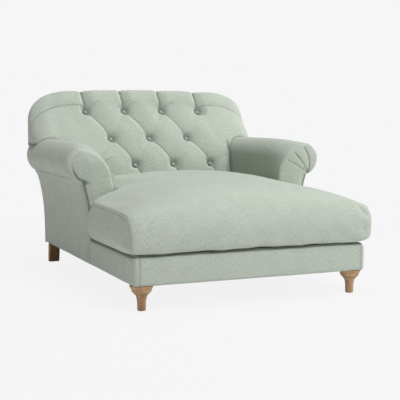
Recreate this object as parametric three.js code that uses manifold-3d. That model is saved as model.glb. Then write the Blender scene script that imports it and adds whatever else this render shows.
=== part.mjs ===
// Chaise longue with a deep-buttoned back, scroll arms and one loose T-shaped seat cushion.
// Millimetres. x runs across (left is negative, seen from the front), y from the front to the back, z up.
// The timber frame, the webbing, the pads and the covers are separate pieces, as on the bench.
import * as THREE from "three";
import { mergeVertices } from "three/addons/utils/BufferGeometryUtils.js";
import Module from "manifold-3d";

const wasm = await Module();
wasm.setup();

// Driving sizes of the whole piece
const seatWidth = 868; // between the arms, at the deck
const armWidth = 111; // one arm, at the deck
const armSetback = 603; // front of the base to the arm frames
const armLength = 872; // arm frames to the outside back
const legHeight = 105;
const platformHeight = 125; // the upholstered border of the base
const armRise = 440; // deck to the top of the arm rolls
const backRise = 262; // top of the arm rolls to the crest of the back
const footThickness = 345; // whole back, front to rear, at the deck

// Gaps
const seatGap = 0.3; // between pieces that seat on each other
const cushionGap = 4; // between the loose cushion and what it drops between
const overrun = 20; // how far a cutting tool runs past what it cuts

// Pads and covers
const panelPad = 12; // border, outside arm and outside back
const armPad = 30;
const crownPad = 52; // over the arm's top rail
const facingPad = 24;
const deckPad = 20;
const dustCloth = 1.2;
const borderLip = 36;
const borderCorner = 42;
const borderRound = 32;
const cornerSteps = 4;
const roundShares = [0.25, 0.5, 0.75, 0.97];

// Timber
const railThickness = 28;
const boardThickness = 18;
const blockLeg = 95;
const postWidth = 30;
const postDepth = 46;
const armRailWidth = 60;
const armRailHeight = 28;
const tackRailHeight = 40;
const tackRailLift = 20;
const tackLean = 14.3;

// Webbing
const webWidth = 60;
const webThickness = 1.6;
const webRamp = 30;
const longWebs = 3;
const longWebPitch = 240;
const crossWebsInEachBay = 3;
const backWebShares = [0.33, 0.6]; // heights between the foot rail and the crest board

// Arm scroll
const rollRadius = 92;
const scrollLean = 19; // the roll's inner side stands this far out from the seat
const tuckAngle = THREE.MathUtils.degToRad(28);
const hipRise = 280; // up to here the inner side stands upright at the front
const flarePower = 3;
const rollShares = [0, 0.06, 0.16, 0.36, 1]; // sections of the roll, from its front end
const frontPower = 10; // how fast the roll takes on its round section behind its front end
// Front end of the roll: [degrees up from its outer side, share of the radius]
const scrollShares = [
  [-62, 1],
  [-44, 1.08],
  [-20, 1.13],
  [3, 1.14],
  [20, 1.1],
  [37, 1.04],
  [54, 0.97],
  [70, 0.84],
  [96, 0.7],
  [126, 0.67],
  [146, 0.72],
  [165, 0.83],
  [180, 0.95],
];
const facingRound = 20;
const facingShares = [0.35, 0.7, 0.97];
const rollSteps = 20;
const flareSteps = 5;
const pleatDepth = 5;
const pleatHalfWidth = 2.2;
const pleatRoot = 12;
const pleatAngles = [-78, -46, -12].map(THREE.MathUtils.degToRad); // from straight up, towards the seat

// Back: its side profile as [share of the foot's thickness, share of the height above the deck]
const backProfileShares = [
  [1, 0],
  [0.9, 0.22],
  [0.78, 0.443],
  [0.54, 0.642],
  [0.24, 0.849],
  [0.165, 0.93],
  [0.09, 0.993],
  [0.03, 0.985],
  [0, 0.915],
];

const buttonRowShares = [0.25, 0.375, 0.5]; // rows of buttons, as places along that profile
const crestShare = 0.8; // where the top pleats end
const nudgeShare = 0.006;
const lengthSamples = 64;
const buttonMargin = 105.5; // outermost buttons to the arms
const buttonSpans = 3; // between the four buttons of a row
const buttonRadius = 12;
const buttonDome = 7;
const buttonSkirt = 3;
const twineRadius = 1.6;
const toggleRadius = 9;
const toggleThickness = 3;
const buttonSink = 34;
const pleatSink = 15;
const pleatReach = 88; // how far from a pleat the pad is full again
const wellReach = 42;
const crestArch = 10; // the crest is this much lower where its corners start
const cornerWidth = 260; // rounded upper corner of a wing, across
const cornerHeight = 178; // and down
const cornerPower = 2.5;
const wingReach = 85; // side of a wing from the middle of the roll
const wingEdge = 95; // rounded front edge of a wing
const wingSlimShare = 0.55;
const boardTopShare = 0.944; // crest board's top edge
const boardInset = 45;
const crestBand = 115;
const lobeDrop = 212;
const lobeClearance = 37; // lobes of the crest board from the posts
const buttonSides = 16;
const twineSides = 8;
const rowNames = ["low", "middle", "top"];
const domeShares = [[0.6, 0.75], [1, 0]]; // out, up
const toggleSlack = 2;
const nailShort = 1;
// The profile's stretches as [from, to, sections]
const profileStopShares = [[0, 0.25, 5], [0.25, 0.375, 4], [0.375, 0.5, 4], [0.5, 0.75, 5], [0.75, 1, 3]];
const wingShares = [0.16, 0.34, 0.52, 0.69, 0.8, 0.89, 0.96, 1];
const wingSeat = THREE.MathUtils.degToRad(44);
const crestWrap = 12;
const panelRound = 5;
const panelSteps = 24;
const notchSteps = 12;
const boardSteps = 20;
const postHeadInset = 4;
const postInside = seatWidth / 2;
const backFootPad = 92; // pad in front of the back's foot rail

// Seat cushion
const cushionEdge = 170; // height of its side panels
const cushionCrown = 106;
const cushionOverhang = 32;
const cushionCorner = 55;
const cushionEar = 30;
const cushionEarCorner = 70;
const cushionBulge = 14;
const cushionFrontDraw = 30; // the front edges are drawn in by this much
const cushionDroop = 20; // and the upper one hangs this much lower
const frontFade = 60; // over this length
const waterfall = 110; // fall of the crown towards the front
const rearFall = 40;
const crownPower = 3;
const cushionRearGap = 8;
const cushionSteps = 5;
const cushionStride = 110;
// Side of the cushion from below: drawn in all round, drawn in at the front, height
const cushionSideShares = [
  [0.9, 0.9, 0],
  [0.35, 0.3, 0.06],
  [0.06, 0, 0.3],
  [0, 0, 0.55],
  [0.15, 0.12, 0.82],
  [0.7, 0.5, 1],
];
const crownShares = [0.04, 0.1, 0.2, 0.35, 0.55, 0.8];
const spineShares = [0.25, 0.85];

// Front legs, turned: [share of the collar's radius, share of the height] from the floor up
const legCollar = 49.5;
const legProfileShares = [
  [0.313, 0],
  [0.375, 0.03],
  [0.38, 0.43],
  [0.4, 0.53],
  [0.46, 0.65],
  [0.53, 0.73],
  [0.55, 0.75],
  [0.65, 0.755],
  [0.67, 0.785],
  [0.65, 0.815],
  [0.68, 0.84],
  [0.8, 0.88],
  [0.97, 0.92],
  [1, 0.945],
  [1, 1],
];
const boltRadius = 4;
const boltClearance = 11;
const legSides = 24;
const boltLength = 60;
const legInset = 51; // centre of a front leg from the front and from the side

// Back legs, square and raked
const backLegWidth = 54;
const backLegTop = 44;
const backLegBottom = 32;
const backLegRake = 14;
const backLegInset = 42;

// Levels and lines that follow from those sizes
const halfBase = seatWidth / 2 + armWidth;
const baseDepth = armSetback + armLength;
const deckTop = legHeight + platformHeight;
const armTop = deckTop + armRise;
const backTop = armTop + backRise;
const dustBottom = legHeight + seatGap;
const frameBottom = dustBottom + dustCloth + seatGap;
const webBottom = deckTop - deckPad - 2 * (webThickness + seatGap);
const railTop = webBottom - seatGap;
const frameHalf = halfBase - panelPad - seatGap;
const rearInside = baseDepth - panelPad - seatGap;
const rollX = seatWidth / 2 + scrollLean + rollRadius;
const rollZ = armTop - rollRadius;
const halfBack = rollX + wingReach;
const footRailFront = baseDepth - footThickness + backFootPad + seatGap;
const footRailBack = footRailFront + railThickness;

// Materials
const fabric = new THREE.MeshStandardMaterial({ color: 0xb9c2b5, roughness: 0.95, metalness: 0 });
const oak = new THREE.MeshStandardMaterial({ color: 0x9a7350, roughness: 0.55, metalness: 0 });
const timber = new THREE.MeshStandardMaterial({ color: 0xc9a97a, roughness: 0.8, metalness: 0 });
const webbing = new THREE.MeshStandardMaterial({ color: 0x4a4a46, roughness: 0.9, metalness: 0 });
const cambric = new THREE.MeshStandardMaterial({ color: 0x222222, roughness: 0.95, metalness: 0 });

const chaise = new THREE.Group();
// The origin is under the middle of the whole piece, cushion overhang included.
chaise.position.y = (cushionOverhang - baseDepth) / 2;

function add(name, geometry, material, x = 0, y = 0, z = 0) {
  const mesh = new THREE.Mesh(geometry, material);
  mesh.name = name;
  mesh.position.set(x, y, z);
  chaise.add(mesh);
  return mesh;
}

// The same geometry on both sides: as it is on the right, mirrored on the left.
function addPair(name, geometry, material, x = 0, y = 0, z = 0) {
  add(name + "_right", geometry, material, x, y, z);
  const left = add(name + "_left", geometry, material, -x, y, z);
  left.scale.x = -1;
}

// Basic forms

// A block between two corners.
function block([x0, y0, z0], [x1, y1, z1]) {
  const geometry = new THREE.BoxGeometry(x1 - x0, y1 - y0, z1 - z0);
  return geometry.translate((x0 + x1) / 2, (y0 + y1) / 2, (z0 + z1) / 2);
}

function shapeOf(points) {
  return new THREE.Shape(points.map(([a, b]) => new THREE.Vector2(a, b)));
}

// An outline in x and z, standing between two depths.
function standing(points, front, back) {
  const geometry = new THREE.ExtrudeGeometry(shapeOf(points), { depth: back - front, bevelEnabled: false });
  return geometry.rotateX(Math.PI / 2).translate(0, back, 0);
}

// An outline in x and y, lying between two levels.
function lying(shape, bottom, top) {
  const geometry = new THREE.ExtrudeGeometry(shape, { depth: top - bottom, bevelEnabled: false });
  return geometry.translate(0, 0, bottom);
}

// An outline in y and z, across from one x to another.
function across(points, from, to) {
  const geometry = new THREE.ExtrudeGeometry(shapeOf(points), { depth: to - from, bevelEnabled: false });
  geometry.rotateX(Math.PI / 2).rotateZ(Math.PI / 2);
  return geometry.translate(from, 0, 0);
}

// Flat triangles that close a ring, seen along the axis in which the ring is thinnest.
function capOf(ring) {
  const size = new THREE.Box3().setFromPoints(ring).getSize(new THREE.Vector3());
  const thin = ["x", "y", "z"].reduce((a, b) => (size[b] < size[a] ? b : a));
  const [u, v] = { x: ["y", "z"], y: ["z", "x"], z: ["x", "y"] }[thin];
  const flat = ring.map((p) => new THREE.Vector2(p[u], p[v]));
  const turned = THREE.ShapeUtils.area(flat) < 0;
  const faces = THREE.ShapeUtils.triangulateShape(turned ? flat.slice().reverse() : flat, []);
  const last = ring.length - 1;
  return faces.map((face) => (turned ? face.map((i) => last - i).reverse() : face));
}

// A closed body through rings of equal length. The quads at which slopes(i, j) is true are split the other way.
// Rings that are wide open from their middle may be closed by a fan.
function skin(rings, slopes = () => false, fans = false) {
  const count = rings[0].length;
  const index = [];
  for (let i = 0; i + 1 < rings.length; i++) {
    for (let j = 0; j < count; j++) {
      const a = i * count + j;
      const b = i * count + ((j + 1) % count);
      const c = a + count;
      const d = b + count;
      if (slopes(i, j)) index.push(a, b, c, b, d, c);
      else index.push(a, b, d, a, d, c);
    }
  }
  const end = (rings.length - 1) * count;
  const points = rings.flat();
  const ends = [[rings[0], 0, true], [rings.at(-1), end, false]];
  for (const [ring, first, turned] of ends) {
    const middle = points.length - first;
    const faces = fans ? ring.map((_, j) => [j, (j + 1) % count, middle]) : capOf(ring);
    if (fans) points.push(middleOf(ring));
    for (const face of faces) {
      const order = turned ? face.slice().reverse() : face;
      index.push(...order.map((i) => i + first));
    }
  }
  const geometry = new THREE.BufferGeometry();
  const position = points.flatMap((p) => [p.x, p.y, p.z]);
  geometry.setAttribute("position", new THREE.Float32BufferAttribute(position, 3));
  geometry.setIndex(index);
  return facingOut(geometry);
}

function middleOf(ring) {
  return ring.reduce((sum, p) => sum.add(p), new THREE.Vector3()).divideScalar(ring.length);
}

function signedVolume(geometry) {
  const position = geometry.getAttribute("position");
  const index = geometry.index.array;
  const corner = [0, 1, 2].map(() => new THREE.Vector3());
  let sum = 0;
  for (let i = 0; i < index.length; i += 3) {
    corner.forEach((v, k) => v.fromBufferAttribute(position, index[i + k]));
    sum += corner[0].dot(corner[1].clone().cross(corner[2]));
  }
  return sum / 6;
}

function facingOut(geometry) {
  if (signedVolume(geometry) < 0) geometry.setIndex(Array.from(geometry.index.array).reverse());
  geometry.computeVertexNormals();
  return geometry;
}

// Joins and cuts
const weldTolerance = 1e-3;

function welded(geometry) {
  const bare = geometry.clone();
  bare.deleteAttribute("normal");
  bare.deleteAttribute("uv");
  const merged = mergeVertices(bare, weldTolerance);
  const index = Array.from(merged.index.array);
  const kept = [];
  for (let i = 0; i < index.length; i += 3) {
    const [a, b, c] = index.slice(i, i + 3);
    if (a !== b && b !== c && c !== a) kept.push(a, b, c);
  }
  merged.setIndex(kept);
  return facingOut(merged);
}

function solidOf(geometry) {
  const closed = welded(geometry);
  const vertProperties = new Float32Array(closed.getAttribute("position").array);
  const triVerts = new Uint32Array(closed.index.array);
  return new wasm.Manifold(new wasm.Mesh({ numProp: 3, vertProperties, triVerts }));
}

function geometryOf(solid) {
  const mesh = solid.getMesh();
  const geometry = new THREE.BufferGeometry();
  geometry.setAttribute("position", new THREE.Float32BufferAttribute(mesh.vertProperties, mesh.numProp));
  geometry.setIndex(Array.from(mesh.triVerts));
  geometry.computeVertexNormals();
  return geometry;
}

function cut(geometry, tools) {
  return geometryOf(tools.reduce((solid, tool) => solid.subtract(solidOf(tool)), solidOf(geometry)));
}

function join(geometry, others) {
  return geometryOf(others.reduce((solid, other) => solid.add(solidOf(other)), solidOf(geometry)));
}

// The same form on the other side of the middle.
function mirrored(geometry) {
  return facingOut(welded(geometry).scale(-1, 1, 1));
}

// A cylinder along z from its bottom.
function post(radius, bottom, top, sides = 16) {
  return new THREE.CylinderGeometry(radius, radius, top - bottom, sides)
    .rotateX(Math.PI / 2)
    .translate(0, 0, (bottom + top) / 2);
}

// Each point of a flat ring [a, b], moved inwards by a distance.
function inset(ring, distance) {
  const turn = Math.sign(THREE.ShapeUtils.area(ring.map(([a, b]) => new THREE.Vector2(a, b))));
  return ring.map(([a, b], i) => {
    const [pa, pb] = ring[(i + ring.length - 1) % ring.length];
    const [na, nb] = ring[(i + 1) % ring.length];
    const before = new THREE.Vector2(a - pa, b - pb).normalize();
    const after = new THREE.Vector2(na - a, nb - b).normalize();
    const along = before.add(after).normalize();
    return [a - along.y * distance * turn, b + along.x * distance * turn];
  });
}

// An outline whose corners [x, y, radius] are rounded.
function rounded(corners, steps) {
  return corners.flatMap(([x, y, radius], i) => {
    const [px, py] = corners[(i + corners.length - 1) % corners.length];
    const [nx, ny] = corners[(i + 1) % corners.length];
    const here = new THREE.Vector2(x, y);
    const back = new THREE.Vector2(px, py).sub(here).normalize();
    const on = new THREE.Vector2(nx, ny).sub(here).normalize();
    const reach = radius / Math.tan(Math.acos(back.dot(on)) / 2);
    const from = here.clone().addScaledVector(back, reach);
    const to = here.clone().addScaledVector(on, reach);
    const curve = new THREE.QuadraticBezierCurve(from, here, to);
    return curve.getPoints(steps).map((p) => [p.x, p.y]);
  });
}

function lerp(a, b, share) {
  return a + (b - a) * share;
}

function steps(count) {
  return Array.from({ length: count + 1 }, (_, i) => i / count);
}

function arc(x, z, radius, from, to, count) {
  return steps(count).map((share) => {
    const angle = lerp(from, to, share);
    const r = typeof radius === "function" ? radius(angle) : radius;
    return [x + r * Math.cos(angle), z + r * Math.sin(angle)];
  });
}

function flatPoints(ring, level) {
  return ring.map(([x, y]) => new THREE.Vector3(x, y, level));
}

function uprightPoints(ring, y) {
  return ring.map(([x, z]) => new THREE.Vector3(x, y, z));
}

// Levels of the timber frame
const innerFrame = frameHalf - railThickness;
const frontInside = panelPad + seatGap;
const frontRailBack = frontInside + railThickness;
const rearRailFront = rearInside - railThickness;

// Seat rails
const frontRail = block([-frameHalf, frontInside, frameBottom], [frameHalf, frontRailBack, railTop]);
add("seat_front_rail", frontRail, timber);
const rearRail = block([-frameHalf, rearRailFront, frameBottom], [frameHalf, rearInside, railTop]);
add("seat_rear_rail", rearRail, timber);
const sideRail = block(
  [innerFrame, frontRailBack + seatGap, frameBottom],
  [frameHalf, rearRailFront - seatGap, railTop],
);
addPair("seat_side_rail", sideRail, timber);
const crossHalf = innerFrame - seatGap;
const crossRail = block([-crossHalf, 0, frameBottom], [crossHalf, railThickness, railTop]);
add("seat_cross_rail", crossRail, timber, 0, armSetback);
add("back_foot_rail", crossRail, timber, 0, footRailFront);

// Blocks in the corners, bored for the leg bolts
const boltHole = boltRadius + seatGap;
const frontLegX = halfBase - legInset;
function cornerShape([x, y], depth) {
  return shapeOf([[x, y], [x - blockLeg, y], [x, y + depth]]);
}
const blockShape = cornerShape([crossHalf, frontRailBack + seatGap], blockLeg);
const frontBlock = cut(lying(blockShape, frameBottom, railTop), [
  post(boltHole, dustBottom, deckTop).translate(frontLegX, legInset, 0),
]);
addPair("front_corner_block", frontBlock, timber);
const rearCorner = [crossHalf, rearRailFront - seatGap];
const rearShape = cornerShape(rearCorner, -blockLeg);
const backLegX = halfBase - backLegInset;
const backLegY = baseDepth - backLegInset;
const backBoltX = crossHalf - boltClearance;
const backBoltY = rearCorner[1] - boltClearance;
const rearBlock = cut(lying(rearShape, frameBottom, railTop), [
  post(boltHole, dustBottom, deckTop).translate(backBoltX, backBoltY, 0),
]);
addPair("rear_corner_block", rearBlock, timber);

// Cloth under the frame
const dust = block([-frameHalf, frontInside, dustBottom], [frameHalf, rearInside, dustBottom + dustCloth]);
const dustHoles = [-1, 1].flatMap((side) => [
  post(boltHole, legHeight, deckTop).translate(side * frontLegX, legInset, 0),
  post(boltHole, legHeight, deckTop).translate(side * backBoltX, backBoltY, 0),
]);
add("dust_cover", cut(dust, dustHoles), cambric);

// Legs with the bolts that hold them
const turned = [
  [0, 0],
  ...legProfileShares.map(([out, up]) => [out * legCollar, up * legHeight]),
  [boltRadius, legHeight],
  [boltRadius, legHeight + boltLength],
  [0, legHeight + boltLength],
].map(([r, z]) => new THREE.Vector2(r, z));
const frontLeg = new THREE.LatheGeometry(turned, legSides).rotateX(Math.PI / 2);
addPair("front_leg", welded(frontLeg), oak, frontLegX, legInset);

function legSquare(half, y, z) {
  const w = backLegWidth / 2;
  return flatPoints([[-w, y - half], [w, y - half], [w, y + half], [-w, y + half]], z);
}

const rearLeg = skin([legSquare(backLegBottom / 2, backLegRake, 0), legSquare(backLegTop / 2, 0, legHeight)]);
const rearBolt = post(boltRadius, legHeight - boltRadius, legHeight + boltLength);
rearBolt.translate(backBoltX - backLegX, backBoltY - backLegY, 0);
addPair("rear_leg", join(rearLeg, [rearBolt]), oak, backLegX, backLegY);

// Seat webbing: lengthwise straps below, crosswise straps over them
const lip = halfBase - borderLip - seatGap;
const webLevel = webBottom;
const upperWeb = webThickness + seatGap;
const longWebStart = borderLip + seatGap;
const longWeb = block(
  [-webWidth / 2, longWebStart, webLevel],
  [webWidth / 2, footRailBack, webLevel + webThickness],
);
for (let i = 0; i < longWebs; i++) {
  const x = (i - (longWebs - 1) / 2) * longWebPitch;
  add("seat_web_long_" + (i + 1), longWeb, webbing, x);
}
const dip = innerFrame - seatGap;
const crossWebLine = [
  [-lip, 0],
  [-dip, 0],
  [webRamp - dip, upperWeb],
  [dip - webRamp, upperWeb],
  [dip, 0],
  [lip, 0],
];
const crossWebOver = crossWebLine.slice().reverse().map(([x, z]) => [x, z + webThickness]);
const crossWebShape = [...crossWebLine, ...crossWebOver];
const crossWeb = standing(crossWebShape, 0, webWidth).translate(0, 0, webLevel);
const bays = [[frontRailBack, armSetback], [armSetback + railThickness, footRailFront]];
bays.forEach(([from, to], bay) => {
  for (let i = 0; i < crossWebsInEachBay; i++) {
    const y = lerp(from, to, (i + 1) / (crossWebsInEachBay + 1)) - webWidth / 2;
    add("seat_web_cross_" + (bay * crossWebsInEachBay + i + 1), crossWeb, webbing, 0, y);
  }
});

// Upholstered border round the front of the base
const borderEnd = armSetback - seatGap;
function borderRing(insetBy, level) {
  const half = halfBase - insetBy;
  const corner = Math.max(borderCorner - insetBy, seatGap);
  const outline = [
    [half, borderEnd, seatGap],
    [-half, borderEnd, seatGap],
    [-half, insetBy, corner],
    [half, insetBy, corner],
  ];
  return flatPoints(rounded(outline, cornerSteps), level);
}
const borderRings = [borderRing(0, legHeight), borderRing(0, deckTop - borderRound)];
for (const share of roundShares) {
  const angle = (share * Math.PI) / 2;
  const drawnIn = borderRound * (1 - Math.cos(angle));
  borderRings.push(borderRing(drawnIn, deckTop - borderRound * (1 - Math.sin(angle))));
}
const hollowHalf = halfBase - panelPad;
const borderHollow = block([-hollowHalf, panelPad, 0], [hollowHalf, baseDepth, webBottom]);
const deckHalf = halfBase - borderLip;
const borderTop = block([-deckHalf, borderLip, 0], [deckHalf, baseDepth, backTop]);
add("base_border", cut(skin(borderRings), [borderHollow, borderTop]), fabric);

// Deck under the cushion
const deckSide = seatWidth / 2 - seatGap;
const deckBack = baseDepth - footThickness - seatGap;
const deckFrontHalf = deckHalf - seatGap;
const deckShape = shapeOf([
  [-deckFrontHalf, longWebStart],
  [deckFrontHalf, longWebStart],
  [deckFrontHalf, borderEnd],
  [deckSide, borderEnd],
  [deckSide, deckBack],
  [-deckSide, deckBack],
  [-deckSide, borderEnd],
  [-deckFrontHalf, borderEnd],
]);
add("seat_deck", lying(deckShape, deckTop - deckPad, deckTop), fabric);

// Arm section, right-hand side: inner face, roll and tuck. The share is 1 at the front end of the roll,
// and 0 where it is round.
const innerFoot = seatWidth / 2;
const tuckFrom = tuckAngle - Math.PI / 2;
const scrollAngles = scrollShares.map(([degrees]) => THREE.MathUtils.degToRad(degrees));
function scrollRadius(angle) {
  const last = scrollAngles.length - 1;
  const next = scrollAngles.findIndex((end, i) => i > 0 && (angle <= end || i === last));
  const [from, to] = scrollAngles.slice(next - 1, next + 1);
  const [[, low], [, high]] = scrollShares.slice(next - 1, next + 1);
  return rollRadius * lerp(low, high, (angle - from) / (to - from));
}
function rollPoints(share) {
  const radius = (angle) => lerp(rollRadius, scrollRadius(angle), share);
  return arc(rollX, rollZ, radius, Math.PI, tuckFrom, rollSteps);
}
const tuckX = rollX + rollRadius * Math.cos(tuckFrom);
const tuckZ = rollZ + rollRadius * Math.sin(tuckFrom);

// Outer face of the outside arm, between the underside and the tuck, through fixed levels
const flareKnots = steps(flareSteps).map((share) => [
  halfBase + (tuckX - halfBase) * share ** flarePower,
  lerp(legHeight, tuckZ, share),
]);
function flareX(z) {
  const place = Math.min(flareSteps - 1, Math.floor(((z - legHeight) / (tuckZ - legHeight)) * flareSteps));
  const [[x0, z0], [x1, z1]] = flareKnots.slice(place, place + 2);
  return lerp(x0, x1, (z - z0) / (z1 - z0));
}
function flareLine(from, to, shift) {
  const [low, high] = [Math.min(from, to), Math.max(from, to)];
  const between = flareKnots.map(([, z]) => z).filter((z) => z > low + seatGap && z < high - seatGap);
  const levels = [low, ...between, high];
  if (from > to) levels.reverse();
  return levels.map((z) => [flareX(z) - shift, z]);
}
const panelTop = tuckZ - seatGap;
const armBack = rearInside;
const outerPanel = [...flareLine(legHeight, panelTop, 0), ...flareLine(panelTop, legHeight, panelPad)];
addPair("outer_arm_panel", standing(outerPanel, armSetback + seatGap, armBack), fabric);

// Roll pad over the arm frame, open below
const padBottom = deckTop - deckPad + seatGap;
const channelLeft = rollX - armRailWidth / 2 - seatGap;
const channelRight = rollX + armRailWidth / 2 + seatGap;
const channelTop = armTop - crownPad;
const channelFoot = channelTop - armRailHeight - seatGap;
const shoulder = [innerFoot + scrollLean + armPad, rollZ - armRailHeight / 2];
const cavity = [
  [channelRight, tuckZ + seatGap],
  [channelRight, channelTop],
  [channelLeft, channelTop],
  [channelLeft, channelFoot],
  shoulder,
  [innerFoot + armPad, padBottom],
];
const hipShare = (deckTop + hipRise - padBottom) / (rollZ - padBottom);
function hip(share) {
  const leaning = innerFoot + scrollLean * hipShare;
  return [lerp(leaning, innerFoot, share), deckTop + hipRise];
}
const padStart = armSetback + facingPad + seatGap;
const rollRings = rollShares.map((place) => {
  const share = (1 - place) ** frontPower;
  const outline = [[innerFoot, padBottom], hip(share), ...rollPoints(share), ...cavity];
  return uprightPoints(outline, lerp(padStart, armBack, place));
});
addPair("arm_roll_pad", skin(rollRings), fabric);

// Boards that close the arm frame at both ends, under the roll pad
const boardBottom = railTop + seatGap;
const boardOutline = [
  [innerFoot + armPad + seatGap, boardBottom],
  [shoulder[0] + seatGap, shoulder[1]],
  [channelLeft + seatGap, channelFoot],
  [channelLeft + seatGap, channelTop - seatGap],
  [channelRight - seatGap, channelTop - seatGap],
  [channelRight - seatGap, tuckZ],
  ...flareLine(panelTop, boardBottom, panelPad + seatGap),
];
addPair("arm_front_board", standing(boardOutline, padStart, padStart + boardThickness), timber);
addPair("arm_rear_board", standing(boardOutline, armBack - boardThickness, armBack), timber);
const railStart = padStart + boardThickness + seatGap;
const railEnd = armBack - boardThickness - seatGap;
const armRail = block(
  [channelLeft + seatGap, railStart, channelTop - seatGap - armRailHeight],
  [channelRight - seatGap, railEnd, channelTop - seatGap],
);
addPair("arm_top_rail", armRail, timber);
const tackX = shoulder[0] - tackLean;
const tackRail = block(
  [tackX, railStart, deckTop + tackRailLift],
  [tackX + railThickness, railEnd, deckTop + tackRailLift + tackRailHeight],
);
addPair("arm_tack_rail", tackRail, timber);

// Front facing of an arm, its edge rounded over and three pleats pressed in
const facingOutline = [
  [innerFoot, boardBottom],
  hip(1),
  ...rollPoints(1),
  ...flareLine(panelTop, boardBottom, panelPad + seatGap),
];
const facingRings = [[0, facingPad], [0, facingRound]];
for (const share of facingShares) {
  const angle = (share * Math.PI) / 2;
  facingRings.push([facingRound * (1 - Math.cos(angle)), facingRound * (1 - Math.sin(angle))]);
}
const facing = skin(facingRings.map(([by, y]) => uprightPoints(inset(facingOutline, by), armSetback + y)));
const pleatLength = 2 * rollRadius;
const pleats = pleatAngles.map((angle) => {
  const outline = [
    [-pleatHalfWidth, 0],
    [pleatHalfWidth, 0],
    [pleatHalfWidth / 2, pleatLength],
    [-pleatHalfWidth / 2, pleatLength],
  ];
  const groove = standing(outline, -overrun, pleatDepth);
  return groove.rotateY(angle).translate(tuckX - pleatRoot, armSetback, tuckZ + pleatRoot);
});
addPair("arm_front_facing", cut(facing, pleats), fabric);

// Loose seat cushion: a T that fills the seat and comes out in front of the arms
const cushionHalf = halfBase + cushionOverhang;
const cushionNeck = seatWidth / 2 - cushionGap;
const cushionNeckFront = armSetback - cushionRearGap;
const cushionBack = baseDepth - footThickness - cushionRearGap;
const cushionOutline = rounded([
  [-cushionHalf, -cushionOverhang, cushionCorner],
  [cushionHalf, -cushionOverhang, cushionCorner],
  [cushionHalf, cushionNeckFront, cushionEarCorner],
  [cushionNeck, cushionNeckFront, cushionEar],
  [cushionNeck, cushionBack, cushionEar],
  [-cushionNeck, cushionBack, cushionEar],
  [-cushionNeck, cushionNeckFront, cushionEar],
  [-cushionHalf, cushionNeckFront, cushionEarCorner],
], cushionSteps);

// Long sides get extra points, so that the crown can curve along them.
function refined(ring, longest) {
  return ring.flatMap(([x, y], i) => {
    const [nx, ny] = ring[(i + 1) % ring.length];
    const parts = Math.ceil(Math.hypot(nx - x, ny - y) / longest);
    return steps(parts).slice(0, -1).map((share) => [lerp(x, nx, share), lerp(y, ny, share)]);
  });
}
const cushionRing = refined(cushionOutline, cushionStride);
const cushionFloor = deckTop + seatGap;
const frontShareAt = (y) => Math.exp(-Math.max(0, y + cushionOverhang) / frontFade);
const edgeAt = (y) => cushionEdge - cushionDroop * frontShareAt(y);
function crownAt(x, y) {
  const across = 1 - Math.abs(x / cushionHalf) ** crownPower;
  const front = 1 - Math.exp(-(y + cushionOverhang) / waterfall);
  const rear = 1 - Math.exp((y - cushionBack) / rearFall);
  return edgeAt(y) + cushionCrown * across * front * rear;
}
function sideRing(by, frontBy) {
  const ring = inset(cushionRing, by * cushionBulge);
  return ring.map(([x, y]) => [x, y + frontBy * cushionFrontDraw * frontShareAt(y)]);
}
const cushionRings = cushionSideShares.map(([by, frontBy, share]) =>
  sideRing(by, frontBy).map(([x, y]) => new THREE.Vector3(x, y, cushionFloor + share * edgeAt(y))));
const spineFront = lerp(-cushionOverhang, cushionBack, spineShares[0]);
const spineBack = lerp(-cushionOverhang, cushionBack, spineShares[1]);
const [shoulderBy, shoulderFrontBy] = cushionSideShares.at(-1);
const shoulderRing = sideRing(shoulderBy, shoulderFrontBy);
for (const share of crownShares) {
  cushionRings.push(shoulderRing.map(([sideX, sideY]) => {
    const x = lerp(sideX, 0, share);
    const y = lerp(sideY, Math.min(Math.max(sideY, spineFront), spineBack), share);
    return new THREE.Vector3(x, y, cushionFloor + crownAt(x, y));
  }));
}
add("seat_cushion", skin(cushionRings, undefined, true), fabric);

// Front and rear line of the back's side profile, as [y, z]
const profileCurve = new THREE.SplineCurve(
  backProfileShares.map(([thick, rise]) => {
    const y = baseDepth - thick * footThickness;
    return new THREE.Vector2(y, lerp(deckTop, backTop, rise));
  }),
);
function profileNormal(place) {
  const ahead = profileCurve.getPoint(Math.min(place + nudgeShare, 1));
  const behind = profileCurve.getPoint(Math.max(place - nudgeShare, 0));
  const along = ahead.sub(behind).normalize();
  return new THREE.Vector2(-along.y, along.x);
}
const samples = steps(lengthSamples).map((place) => profileCurve.getPoint(place));
const lengths = samples.map((point, i) => (i ? point.distanceTo(samples[i - 1]) : 0));
function lengthAt(place) {
  return lengths.slice(0, Math.round(place * lengthSamples) + 1).reduce((sum, length) => sum + length, 0);
}

// Buttons as [x, place along the profile]: four, three and four, the rows staggered
const [lowRow, middleRow, topRow] = buttonRowShares;
const buttonPitch = (seatWidth - 2 * buttonMargin) / buttonSpans;
const half = buttonPitch / 2;
const outer = [-3, -1, 1, 3].map((i) => i * half);
const inner = [-2, 0, 2].map((i) => i * half);
const buttons = [
  ...outer.map((x) => [x, lowRow]),
  ...inner.map((x) => [x, middleRow]),
  ...outer.map((x) => [x, topRow]),
];
const pleatLines = [];
const rowAfter = new Map([[lowRow, middleRow], [middleRow, topRow]]);
for (const [x, place] of buttons) {
  for (const [otherX, other] of buttons) {
    const isNext = other === rowAfter.get(place) && Math.abs(otherX - x) < buttonPitch;
    if (isNext) pleatLines.push([x, place, otherX, other]);
  }
  if (place === lowRow) pleatLines.push([x, place, x, 0]);
  if (place === topRow) pleatLines.push([x, place, x, crestShare]);
}
const pleatSegments = pleatLines.map(([x, place, toX, toPlace]) => new THREE.Line3(
  new THREE.Vector3(x, lengthAt(place), 0),
  new THREE.Vector3(toX, lengthAt(toPlace), 0),
));
const buttonPlaces = buttons.map(([x, place]) => new THREE.Vector3(x, lengthAt(place), 0));

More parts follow.
